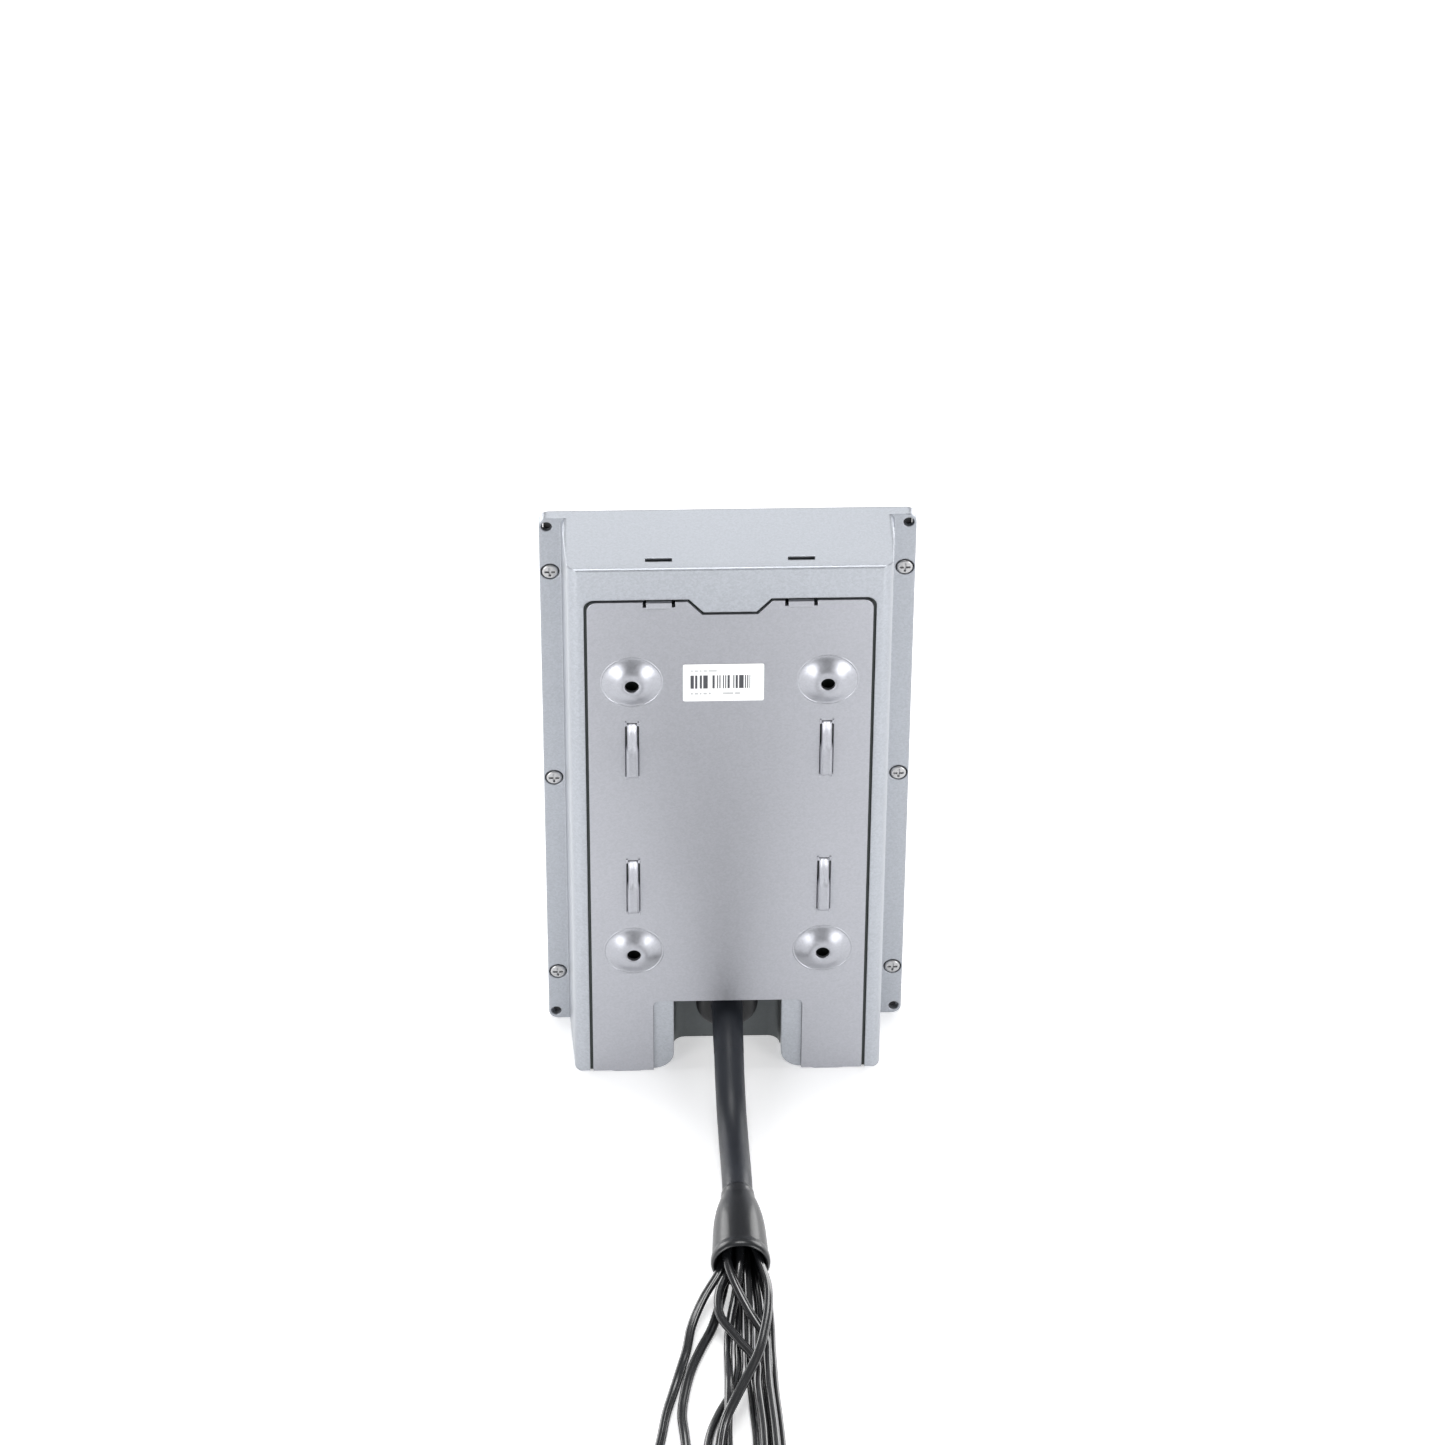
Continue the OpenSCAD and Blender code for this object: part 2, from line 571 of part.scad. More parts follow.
module front_frame() color("dimgray") difference() {
    union() {
        across(glass_back_y, frame_back_y - touch) difference() {
            translate([0, body_h / 2]) round_square(body_w - 2 * rim_t - 2 * pocket_gap,
                body_h - 2 * rim_t - 2 * pocket_gap, flange_r - rim_t);
            translate([0, panel_low_z + panel_h / 2]) square([panel_w + 1, panel_h + 1], center = true);
            translate([0, row_z]) square([antenna_w + 1, antenna_h + 1], center = true);
            translate([scanner_x, row_z]) square([scanner_w + 1, scanner_w + 1], center = true);
            translate([0, light_z]) square([light_w + 0.6, light_h + 0.6], center = true);
        }
        for (p = bracket_posts) rod(p[0], p[1], frame_back_y - 0.5, bracket_y - touch, post_thin_d);
    }
    rod(button_x, row_z, glass_back_y - 1, frame_back_y + 1,
        button_d + 2 * ring_wall + 2 * ring_flange + 0.6);
    rod(0, 11, glass_back_y - 1, frame_back_y + 1, 8.6);
    both_sides() for (z = flange_screw_z)
        rod(flange_screw_x, z, glass_back_y - 1, frame_back_y + 1, screw_d + 0.1);
    for (p = bracket_posts) rod(p[0], p[1], glass_back_y + 1, bracket_y + 1, 2.1);
}

module cover_glass() color("black") difference() {
    across(glass_y, glass_back_y - touch / 2) translate([0, body_h / 2])
        round_square(body_w - 2 * rim_t - 2 * pocket_gap, body_h - 2 * rim_t - 2 * pocket_gap,
            flange_r - rim_t);
    rod(button_x, row_z, glass_y - 1, glass_back_y + 1, button_d + 2 * ring_wall + 0.4);
    rod(0, 11, glass_y - 1, glass_back_y + 1, 1.6);
}

module display_panel() color("darkslategray") translate([0, 0, panel_low_z])
    across(panel_y, panel_back_y) translate([0, panel_h / 2]) square([panel_w, panel_h], center = true);

module display_bracket() color("gainsboro") difference() {
    across(bracket_y, bracket_y + bracket_t) translate([0, panel_low_z + panel_h / 2])
        difference() {
            square([panel_w + 2 * bracket_over, panel_h], center = true);
            square([panel_w - 34, panel_h - 50], center = true);
        }
    for (p = bracket_posts) rod(p[0], p[1], bracket_y - 1, bracket_y + bracket_t + 1, 2.4);
    span([-13, bracket_y - 1, panel_low_z + 12], [13, bracket_y + bracket_t + 1, panel_low_z + 26]);
}

module display_screws() color("whitesmoke") for (p = bracket_posts) {
    rod(p[0], p[1], bracket_y + bracket_t + 0.05, bracket_y + bracket_t + 1.3, 4);
    rod(p[0], p[1], glass_back_y + 1.4, bracket_y + bracket_t + 0.1, 2);
}

// A folded film from the display's foot to the main board
module display_ribbon() color("goldenrod") translate([-10, 0, 0]) rotate([90, 0, 90])
    linear_extrude(height = 20)
    polygon([[panel_back_y + touch, panel_low_z + 18], [bracket_y + 3, panel_low_z + 18],
        [bracket_y + 3.4, panel_low_z + 18.4], [bracket_y + 3.4, board_low_z + 8],
            [board_y - touch, board_low_z + 8],
        [board_y - touch, board_low_z + 8.4], [bracket_y + 3, board_low_z + 8.4],
            [bracket_y + 3, panel_low_z + 18.4],
        [panel_back_y + touch, panel_low_z + 18.4]]);

module main_board() color("darkgreen") difference() {
    span([-board_w / 2, board_y, board_low_z], [board_w / 2, board_y + board_t, board_low_z + board_h]);
    for (p = board_posts) rod(p[0], p[1], board_y - 1, board_y + board_t + 1, screw_d + 0.4);
}

// Processor, memory, shield can, storage and the plug-in sockets, each resting on the board
module board_parts() color("dimgray") {
    chips = [[0, spreader_z, 24, 24, 2.2], [-32, spreader_z + 12, 14, 18, 1.6],
        [-32, spreader_z - 12, 14, 18, 1.6], [36, spreader_z - 10, 22, 30, 3],
            [36, spreader_z + 36, 20, 16, 2.4]];
    for (c = chips) span([c[0] - c[2] / 2, board_y + board_t, c[1] - c[3] / 2],
        [c[0] + c[2] / 2, board_y + board_t + c[4], c[1] + c[3] / 2]);
    sockets = [[-30, 92, 22, 6], [30, 92, 18, 6], [0, tamper_z - 16, 30, 6]];
    for (s = sockets) span([s[0] - s[2] / 2, board_y - 5, s[1] - s[3] / 2],
        [s[0] + s[2] / 2, board_y, s[1] + s[3] / 2]);
}

module board_screws() color("whitesmoke") for (p = board_posts) {
    rod(p[0], p[1], board_y - 2.2, board_y - 0.05, 5.6);
    rod(p[0], p[1], board_y - 0.1, board_y + board_t + 5, screw_d);
}

// Block that carries the processor's heat to the shell, with grooves down its sides
module heat_spreader() color("silver") difference() {
    span([-spreader_w / 2, board_y + board_t + 2.3, spreader_z - spreader_w / 2],
        [spreader_w / 2, inner_y - touch, spreader_z + spreader_w / 2]);
    for (i = [-3:3]) span([i * 6 - 1.2, board_y + board_t + 5, spreader_z - spreader_w / 2 - 1],
        [i * 6 + 1.2, inner_y - 3, spreader_z + spreader_w / 2 + 1]);
}

module io_board() color("darkgreen") difference() {
    span([io_x - io_w / 2, io_y, io_low_z], [io_x + io_w / 2, io_y + board_t, io_low_z + io_h]);
    for (p = io_posts) rod(p[0], p[1], io_y - 1, io_y + board_t + 1, screw_d + 0.4);
}

// Relay and terminal headers of the small board
module io_parts() color("navy") {
    span([io_x - 4, io_y - 10, io_low_z + 32], [io_x + 12, io_y, io_low_z + 47]);
    for (z = [io_low_z + 6, io_low_z + 18]) span([io_x + 4, io_y - 8, z], [io_x + 13, io_y, z + 10]);
}

module io_screws() color("whitesmoke") for (p = io_posts) {
    rod(p[0], p[1], io_y - 2.2, io_y - 0.05, 5.6);
    rod(p[0], p[1], io_y - 0.1, io_y + board_t + 4, screw_d);
}

// Contactless reader: a board behind the glass with its ferrite sheet
module antenna_board() color("darkgreen") union() {
    span([-antenna_w / 2, glass_back_y + touch, row_z - antenna_h / 2],
        [antenna_w / 2, glass_back_y + touch + 1, row_z + antenna_h / 2]);
    span([-antenna_w / 2 + 3, glass_back_y + touch + 1 - eps, row_z - antenna_h / 2 + 3],
        [antenna_w / 2 - 3, glass_back_y + touch + 1.8, row_z + antenna_h / 2 - 3]);
}

module scanner_module() color("dimgray") difference() {
    span([scanner_x - scanner_w / 2, glass_back_y + touch, row_z - scanner_w / 2],
        [scanner_x + scanner_w / 2, glass_back_y + touch + scanner_d, row_z + scanner_w / 2]);
    rod(scanner_x, row_z, glass_back_y - 1, glass_back_y + 5, scanner_lens_d + 0.2);
}

module scanner_lens() color("lightsteelblue") translate([scanner_x, glass_back_y + 0.4, row_z])
    rotate([-90, 0, 0])
    rotate_extrude() polygon(concat([[0, 4.55], [scanner_lens_d / 2, 4.55], [scanner_lens_d / 2, 1.6]],
        [for (i = [4:-1:0]) [scanner_lens_d / 2 * i / 4.4, 1.5 - 1.2 * (1 - i * i / 20)]]));

module speaker() color("dimgray") translate([button_x, -3.6, wall + touch]) {
    difference() {
        cylinder(h = 5, d = speaker_d);
        translate([0, 0, -1]) cylinder(h = 2.4, d1 = speaker_d - 4, d2 = speaker_d / 2);
    }
    translate([0, 0, 5 - eps]) cylinder(h = 2, d = speaker_d / 2);
}

module microphone() color("dimgray") rod(0, 11, glass_back_y + touch, glass_back_y + 4.6, 8);

module light_guide() color("white") span([-light_w / 2, glass_back_y + touch, light_z - light_h / 2],
    [light_w / 2, glass_back_y + 3, light_z + light_h / 2]);

module led_board() color("darkgreen") union() {
    span([-light_w / 2 - 3, glass_back_y + 4, light_z - 3.4],
        [light_w / 2 + 3, glass_back_y + 5, light_z + 1.6]);
    for (i = [-2:2]) span([i * 9 - 1.6, glass_back_y + 3.1, light_z - 1.6],
        [i * 9 + 1.6, glass_back_y + 4 + eps, light_z + 1.4]);
}

// Ring that the call button runs in: a sleeve through the glass with a flange behind it
module button_ring() color("silver") difference() {
    union() {
        rod(button_x, row_z, glass_y, ring_back_y, button_d + 2 * ring_wall);
        rod(button_x, row_z, glass_back_y + touch, glass_back_y + 1.6,
            button_d + 2 * ring_wall + 2 * ring_flange);
    }
    rod(button_x, row_z, glass_y - 1, ring_back_y + 1, button_d + 2 * button_fit);
}

// The button, dished in front
module call_button() color("dodgerblue") difference() {
    rod(button_x, row_z, glass_y, glass_y + button_len, button_d);
    translate([button_x, glass_y - 30.2, row_z]) sphere(d = 61.6, $fn = 96);
}

module call_switch() color("dimgray") union() {
    rod(button_x, row_z, ring_back_y + 0.3, ring_back_y + 5, button_d + 2 * ring_wall);
    rod(button_x, row_z, ring_back_y, ring_back_y + 1, 3);
    rod(button_x, row_z, ring_back_y + 5 - eps, ring_back_y + 7, 8);
}

// Switch block on the back wall, bored for its plunger
module tamper_switch() color("dimgray") difference() {
    span([-7, inner_y - plunger_l - 2, tamper_z - 6], [7, inner_y - touch, tamper_z + 6]);
    rod(0, tamper_z, inner_y - plunger_l, inner_y + 1, plunger_d + 2 * plunger_fit);
}

module tamper_plunger() color("firebrick")
    rod(0, tamper_z, inner_y - plunger_l + plunger_travel + 0.3, seat_y, plunger_d);

module gland_body() color("dimgray") difference() {
    union() {
        translate([0, bay_y, gland_z]) rotate([-90, 0, 0])
            cylinder(h = gland_flange_t, d = gland_hex / cos(30), $fn = 6);
        rod(0, gland_z, bay_y - gland_thread_l, bay_y + eps, gland_thread_d);
        rod(0, gland_z, bay_y + gland_flange_t - eps, bay_y + gland_flange_t + 3, gland_thread_d);
    }
    rod(0, gland_z, bay_y - gland_thread_l - 1, nut_y, lead_d + 1);
}

// Domed cap nut with a grip of flats
module gland_nut() color("dimgray") difference() {
    translate([0, bay_y + gland_flange_t + touch, gland_z]) rotate([-90, 0, 0]) rotate_extrude()
        polygon(concat(
        [[0, 0], [gland_nut_d / 2, 0], [gland_nut_d / 2, gland_nut_t - 4]],
        arc(gland_nut_d / 2 - 3.8, gland_nut_t - 4 - touch, 3.8, 5, 90, 6), [[0,
            gland_nut_t - touch - 0.2]]));
    rod(0, gland_z, bay_y, nut_y + 1, lead_d + 0.4);
    rod(0, gland_z, bay_y, bay_y + gland_flange_t + 5.2, gland_thread_d + 0.2);
    for (i = [0:11]) translate([0, bay_y + gland_flange_t - 1, gland_z]) rotate([0, i * 30, 0])
        translate([gland_nut_d / 2 - 0.4, 0, -0.8]) cube([2, gland_nut_t - 3, 1.6]);
}

module gland_seal() color("dimgray") difference() {
    rod(0, gland_z, bay_y + gland_flange_t + 3.2, bay_y + gland_flange_t + 5, 18);
    rod(0, gland_z, bay_y, nut_y, lead_d + 0.4);
}

module gland_locknut() color("dimgray") difference() {
    translate([0, bay_wall_y - touch - 4, gland_z]) rotate([-90, 0, 0])
        cylinder(h = 4, d = gland_hex / cos(30), $fn = 6);
    rod(0, gland_z, bay_wall_y - 6, bay_wall_y + 1, gland_thread_d + 0.1);
}

// Sheathed cores from the lead's end in the gland up to the small board's headers
inner_route = [[0, bay_y - 2, gland_z], [0, bay_y - 6, gland_z], [-0.6, bay_y - 9.6, 27.4],
    [-2.6, bay_y - 12, 29.2],
    [-6, bay_y - 12.8, 32.4], [-10.5, bay_y - 12.8, 35.2], [-15.5, bay_y - 12, 36.4],
        [-20.5, bay_y - 10, 35.8],
    [-24.8, bay_y - 7.2, 34], [-27.8, bay_y - 4, 31.6], [-29.6, bay_y, 29], [-30.4, bay_y + 2, 27]];

module inner_leads() color("dimgray") tube(inner_route, 4.6, 8);

module id_label() color("white") span([-13.6, rear_y + 0.02, label_z - label_h / 2],
    [18.6, rear_y + 0.2, label_z + label_h / 2]);

module main_cable() color("dimgray") tube(lead_route, lead_d, 12);

// Moulded boot where the lead divides: a bottle shape with an open mouth
boot_profile = [[6.4, 0], [6.9, 2], [7.7, 5], [8.7, 8], [9.5, 11], [10.1, 15], [10.5, 19],
    [10.8, 25], [11.1, 31],
    [11.5, 37], [boot_r, 40.6], [boot_r, boot_l]];

module breakout_boot() color("dimgray") translate([lead_x, boot_y, boot_r]) rotate([-90, 0, 0])
    difference() {
    rotate_extrude() polygon(concat([[0, 0]], boot_profile, [[0, boot_l]]));
    hollow = boot_hollow_y - boot_y;
    translate([0, 0, hollow]) cylinder(h = boot_l - hollow + eps, r1 = 9, r2 = boot_r - boot_lip);
}

module tail(k) {
    color("dimgray") tube(tail_route(k), tail_d, 8);
}

// A tail's connector: a housing with a sleeve at the back and an open socket in front
module plug(k) {
    size = plug_size[k];
    x = tail_x[k][len(tail_y) - 1];
    mid_z = plug_low_z + size[1] / 2;
    end_z = tail_z[k][len(tail_y) - 1];
    sleeve_l = 6;
    body_y = tail_end_y + sleeve_l;
    color("dimgray") difference() {
        union() {
            rod(x, max(end_z, tail_d / 2 + 0.7), tail_end_y, body_y + eps, tail_d + 1.2);
            span([x - size[0] / 2, body_y, plug_low_z],
                [x + size[0] / 2, tail_end_y + size[2], plug_low_z + size[1]]);
        }
        span([x - size[0] / 2 + 1.2, tail_end_y + size[2] - 6, mid_z - size[1] / 2 + 1.2],
            [x + size[0] / 2 - 1.2, tail_end_y + size[2] + 1, mid_z + size[1] / 2 - 1.2]);
    }
}

module power_tail() tail(0);
module network_tail() tail(1);
module serial_tail() tail(2);
module barrier_tail() tail(3);
module relay_tail() tail(4);
module loop_tail() tail(5);
module sensor_tail() tail(6);
module intercom_tail() tail(7);
module usb_tail() tail(8);
module alarm_tail() tail(9);
module power_plug() plug(0);
module network_plug() plug(1);
module serial_plug() plug(2);
module barrier_plug() plug(3);
module relay_plug() plug(4);
module loop_plug() plug(5);
module sensor_plug() plug(6);
module intercom_plug() plug(7);
module usb_plug() plug(8);
module alarm_plug() plug(9);

wall_plate();
lock_screws();
rear_housing();
housing_gasket();
front_frame();
cover_glass();
display_panel();
display_bracket();
display_screws();
display_ribbon();
main_board();
board_parts();
board_screws();
heat_spreader();
io_board();
io_parts();
io_screws();
antenna_board();
scanner_module();
scanner_lens();
speaker();
microphone();
light_guide();
led_board();
call_switch();
button_ring();
call_button();
tamper_switch();
tamper_plunger();
gland_body();
gland_nut();
gland_seal();
gland_locknut();
inner_leads();
housing_screws();
id_label();
main_cable();
breakout_boot();
power_tail();
network_tail();
serial_tail();
barrier_tail();
relay_tail();
loop_tail();
sensor_tail();
intercom_tail();
usb_tail();
alarm_tail();
power_plug();
network_plug();
serial_plug();
barrier_plug();
relay_plug();
loop_plug();
sensor_plug();
intercom_plug();
usb_plug();
alarm_plug();
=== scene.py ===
"""Looks of a wall-mounted pay terminal: its studio, its finishes, its leads and its finer pieces.

Everything is in metres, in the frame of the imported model. X is across, +Y points out of the
terminal's back, and Z is up. Each sub-assembly is a class that builds its own pieces.
"""
import logging
import math
import random
from dataclasses import dataclass, field
from enum import Enum
from typing import Dict, List, Optional, Sequence, Tuple, Union

import bmesh
import bpy
from mathutils import Matrix, Vector


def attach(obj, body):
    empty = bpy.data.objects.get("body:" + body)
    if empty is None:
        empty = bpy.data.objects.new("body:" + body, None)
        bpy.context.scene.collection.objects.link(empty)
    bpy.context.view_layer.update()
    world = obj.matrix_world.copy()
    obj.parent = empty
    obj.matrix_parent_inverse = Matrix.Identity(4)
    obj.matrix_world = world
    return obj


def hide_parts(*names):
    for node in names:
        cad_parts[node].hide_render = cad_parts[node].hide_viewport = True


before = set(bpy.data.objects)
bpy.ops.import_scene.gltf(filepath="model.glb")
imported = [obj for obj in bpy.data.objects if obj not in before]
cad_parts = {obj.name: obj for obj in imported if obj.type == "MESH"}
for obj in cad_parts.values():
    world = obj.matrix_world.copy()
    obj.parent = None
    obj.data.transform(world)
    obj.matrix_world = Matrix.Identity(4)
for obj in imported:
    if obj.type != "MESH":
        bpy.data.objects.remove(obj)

Point = Tuple[float, float, float]
Pair = Tuple[float, float]
Color = Tuple[float, float, float]
Socket = bpy.types.NodeSocket
Value = Union[float, Sequence[float], Socket]

MM = 0.001
SHELL_BODY = "terminal"
PLATE_BODY = "wall_plate"
BUTTON_BODY = "call_button"
PLUNGER_BODY = "tamper_plunger"

log = logging.getLogger("pay_terminal")
MADE: Dict[str, bpy.types.Material] = {}


class Section(Enum):
    """Cross-section of a tail."""

    ROUND = "round"
    TWIN = "twin"


class Face(Enum):
    """What a connector shows at its open end."""

    PINS = "pins"
    JACK = "jack"
    TONGUE = "tongue"


# --- Finishes ---------------------------------------------------------------------------------


class Shader:
    """One node material, with short calls for the nodes that the finishes share."""

    def __init__(self, name: str, constants: Dict[str, Value]) -> None:
        """Starts a material on its principled shader.

        Args:
            name: The material's name.
            constants: Values for the shader's own sockets, by socket name.
        """
        self.material = bpy.data.materials.new(name)
        self.material.use_nodes = True
        self.tree = self.material.node_tree
        self.surface = next(n for n in self.tree.nodes if n.type == "BSDF_PRINCIPLED")
        for key, value in constants.items():
            self.surface.inputs[key].default_value = value
        self.place = self.node("ShaderNodeTexCoord").outputs["Object"]

    def node(self, kind: str, **settings: object) -> bpy.types.Node:
        """Adds a node and gives it its settings.

        Args:
            kind: The node's type.
            settings: Properties of the node.

        Returns:
            The new node.
        """
        made = self.tree.nodes.new(kind)
        for key, value in settings.items():
            setattr(made, key, value)
        return made

    def feed(self, socket: Socket, value: Value) -> None:
        """Links a socket into another, or sets its value.

        Args:
            socket: The input.
            value: A number, a colour or an output.
        """
        if isinstance(value, bpy.types.NodeSocket):
            self.tree.links.new(value, socket)
        else:
            socket.default_value = value

    def math(self, operation: str, first: Value, second: Value = 0.0, third: Value = 0.0) -> Socket:
        """Combines numbers.

        Args:
            operation: The math node's operation.
            first: First number.
            second: Second number.
            third: Third number.

        Returns:
            The result.
        """
        made = self.node("ShaderNodeMath", operation=operation)
        for socket, value in zip(made.inputs, (first, second, third)):
            self.feed(socket, value)
        return made.outputs[0]

    def vector(self, operation: str, first: Value, second: Value = (0.0, 0.0, 0.0)) -> bpy.types.Node:
        """Combines vectors.

        Args:
            operation: The vector math node's operation.
            first: First vector.
            second: Second vector.

        Returns:
            The node, whose outputs hold the result.
        """
        made = self.node("ShaderNodeVectorMath", operation=operation)
        self.feed(made.inputs[0], first)
        if operation not in ("ABSOLUTE", "LENGTH"):
            self.feed(made.inputs[1], second)
        return made

    def axes(self) -> Tuple[Socket, Socket, Socket]:
        """Returns the place on the object as X, Y and Z."""
        split = self.node("ShaderNodeSeparateXYZ")
        self.feed(split.inputs[0], self.place)
        return split.outputs[0], split.outputs[1], split.outputs[2]

    def noise(self, scale: float, detail: float = 2.0, rough: float = 0.5,
        stretch: Point = (1.0, 1.0, 1.0)) -> Socket:
        """Makes cloudy noise over the object.

        Args:
            scale: Clouds to the metre.
            detail: Octaves.
            rough: Weight of the finer octaves.
            stretch: Scale along each axis.

        Returns:
            The noise, from 0 to 1.
        """
        made = self.node("ShaderNodeTexNoise")
        self.feed(made.inputs["Vector"], self.vector("MULTIPLY", self.place, stretch).outputs[0])
        self.feed(made.inputs["Scale"], scale)
        self.feed(made.inputs["Detail"], detail)
        self.feed(made.inputs["Roughness"], rough)
        return made.outputs[0]

    def cells(self, scale: float) -> Socket:
        """Makes a random brightness for each small cell, as flakes have.

        Args:
            scale: Cells to the metre.

        Returns:
            The brightness, from 0 to 1.
        """
        made = self.node("ShaderNodeTexVoronoi")
        self.feed(made.inputs["Vector"], self.place)
        self.feed(made.inputs["Scale"], scale)
        split = self.node("ShaderNodeSeparateColor")
        self.feed(split.inputs[0], made.outputs["Color"])
        return split.outputs[0]

    def span(self, value: Value, low: float, high: float, out_low: float = 0.0,
        out_high: float = 1.0) -> Socket:
        """Maps a number smoothly from one range to another.

        Args:
            value: The number.
            low: Start of its range.
            high: End of its range.
            out_low: Result at the start.
            out_high: Result at the end.

        Returns:
            The mapped number.
        """
        made = self.node("ShaderNodeMapRange", interpolation_type="SMOOTHSTEP")
        for socket, item in zip(made.inputs, (value, low, high, out_low, out_high)):
            self.feed(socket, item)
        return made.outputs[0]

    def blend(self, amount: Value, under: Value, over: Value) -> Socket:
        """Lays one colour over another.

        Args:
            amount: How much of the upper one shows.
            under: The lower colour.
            over: The upper colour.

        Returns:
            The blended colour.
        """
        made = self.node("ShaderNodeMix", data_type="RGBA")
        self.feed(made.inputs[0], amount)
        self.feed(made.inputs[6], self._rgba(under))
        self.feed(made.inputs[7], self._rgba(over))
        return made.outputs[2]

    def shade(self, tone: Color, factor: Value) -> Socket:
        """Makes a colour brighter or darker.

        Args:
            tone: The colour.
            factor: What it is multiplied by.

        Returns:
            The new colour.
        """
        scaled = self.node("ShaderNodeVectorMath", operation="SCALE")
        self.feed(scaled.inputs[0], tone)
        self.feed(scaled.inputs["Scale"], factor)
        return scaled.outputs[0]

    def plaque(self, centre: Pair, size: Pair, corner: float, soft: float = 0.00005) -> Socket:
        """Masks a rounded rectangle in X and Z.

        Args:
            centre: Its middle.
            size: Its width and height.
            corner: Radius of its corners.
            soft: Width of its edge.

        Returns:
            1 inside and 0 outside.
        """
        moved = self.vector("SUBTRACT", self.place, (centre[0], 0.0, centre[1])).outputs[0]
        flat = self.vector("MULTIPLY", moved, (1.0, 0.0, 1.0)).outputs[0]
        inset = (size[0] / 2 - corner, 0.0, size[1] / 2 - corner)
        away = self.vector("SUBTRACT", self.vector("ABSOLUTE", flat).outputs[0], inset).outputs[0]
        out = self.vector("MAXIMUM", away, (0.0, 0.0, 0.0)).outputs[0]
        reach = self.vector("LENGTH", out).outputs["Value"]
        return self.span(reach, corner - soft, corner + soft, 1.0, 0.0)

    def room(self, corners: Tuple[Point, Point], soft: float) -> Socket:
        """Masks a box, with a soft end towards +Y.

        Args:
            corners: Its lowest and highest corners.
            soft: Length of the soft end.

        Returns:
            1 inside and 0 outside.
        """
        low, high = corners
        middle = tuple((a + b) / 2 for a, b in zip(low, high))
        half = [(b - a) / 2 for a, b in zip(low, high)]
        moved = self.vector("SUBTRACT", self.place, middle).outputs[0]
        split = self.node("ShaderNodeSeparateXYZ")
        self.feed(split.inputs[0], moved)
        mask = self.span(split.outputs[1], half[1] - 0.0001, half[1] + soft, 1.0, 0.0)
        for axis in (0, 2):
            far = self.math("ABSOLUTE", split.outputs[axis])
            mask = self.math("MULTIPLY", mask, self.math("LESS_THAN", far, half[axis]))
        return self.math("MULTIPLY", mask, self.math("GREATER_THAN", split.outputs[1], -half[1]))

    def relief(self, height: Value, depth: float, strength: float = 1.0,
        under: Optional[Socket] = None) -> Socket:
        """Adds fine relief to the surface.

        Args:
            height: Height of the relief, from 0 to 1.
            depth: Depth in metres of a height of 1.
            strength: How much of it shows.
            under: A normal to add it to.

        Returns:
            The new normal, which is also linked to the shader.
        """
        made = self.node("ShaderNodeBump")
        self.feed(made.inputs["Strength"], strength)
        self.feed(made.inputs["Distance"], depth)
        self.feed(made.inputs["Height"], height)
        if under is not None:
            self.feed(made.inputs["Normal"], under)
        self.feed(self.surface.inputs["Normal"], made.outputs[0])
        return made.outputs[0]

    def soft_edges(self, radius: float) -> Socket:
        """Rounds the look of the edges.

        Args:
            radius: The round's radius in metres.

        Returns:
            The rounded normal.
        """
        made = self.node("ShaderNodeBevel", samples=6)
        self.feed(made.inputs["Radius"], radius)
        return made.outputs[0]

    @staticmethod
    def _rgba(value: Value) -> Value:
        """Gives a plain colour its alpha."""
        if isinstance(value, bpy.types.NodeSocket) or isinstance(value, (int, float)):
            return value
        return tuple(value) + (1.0,) if len(value) == 3 else tuple(value)


@dataclass(frozen=True)
class Finish:
    """A plain finish: one colour with mottle, fine grain in its gloss, and relief."""

    name: str
    color: Color
    roughness: float = 0.5
    metallic: float = 0.0
    coat: float = 0.0
    grain: float = 2600.0
    depth: float = 0.00002
    mottle: float = 0.07
    spread: float = 0.06
    edge: float = 0.0
    glow: float = 0.0

    def build(self) -> bpy.types.Material:
        """Returns the material, made on its first use."""
        if self.name not in MADE:
            shader = Shader(self.name, {"Metallic": self.metallic, "Coat Weight": self.coat,
                "Coat Roughness": 0.12,
                                        "Emission Color": (1.0, 1.0, 1.0, 1.0),
                                            "Emission Strength": self.glow})
            self.dress(shader)
            MADE[self.name] = shader.material
        return MADE[self.name]

    def dress(self, shader: Shader) -> None:
        """Wires the nodes.

        Args:
            shader: The material's nodes.
        """
        clouds = shader.noise(38.0, 3.0)
        fine = shader.noise(self.grain, 3.0, 0.6)
        tone = shader.math("MULTIPLY_ADD", clouds, self.mottle * 2, 1.0 - self.mottle)
        shader.feed(shader.surface.inputs["Base Color"], shader.shade(self.color, tone))
        gloss = shader.math("MULTIPLY_ADD", fine, self.spread * 2, self.roughness - self.spread)
        shader.feed(shader.surface.inputs["Roughness"], gloss)
        under = shader.soft_edges(self.edge) if self.edge > 0 else None
        shader.relief(fine, self.depth, 0.6, under)


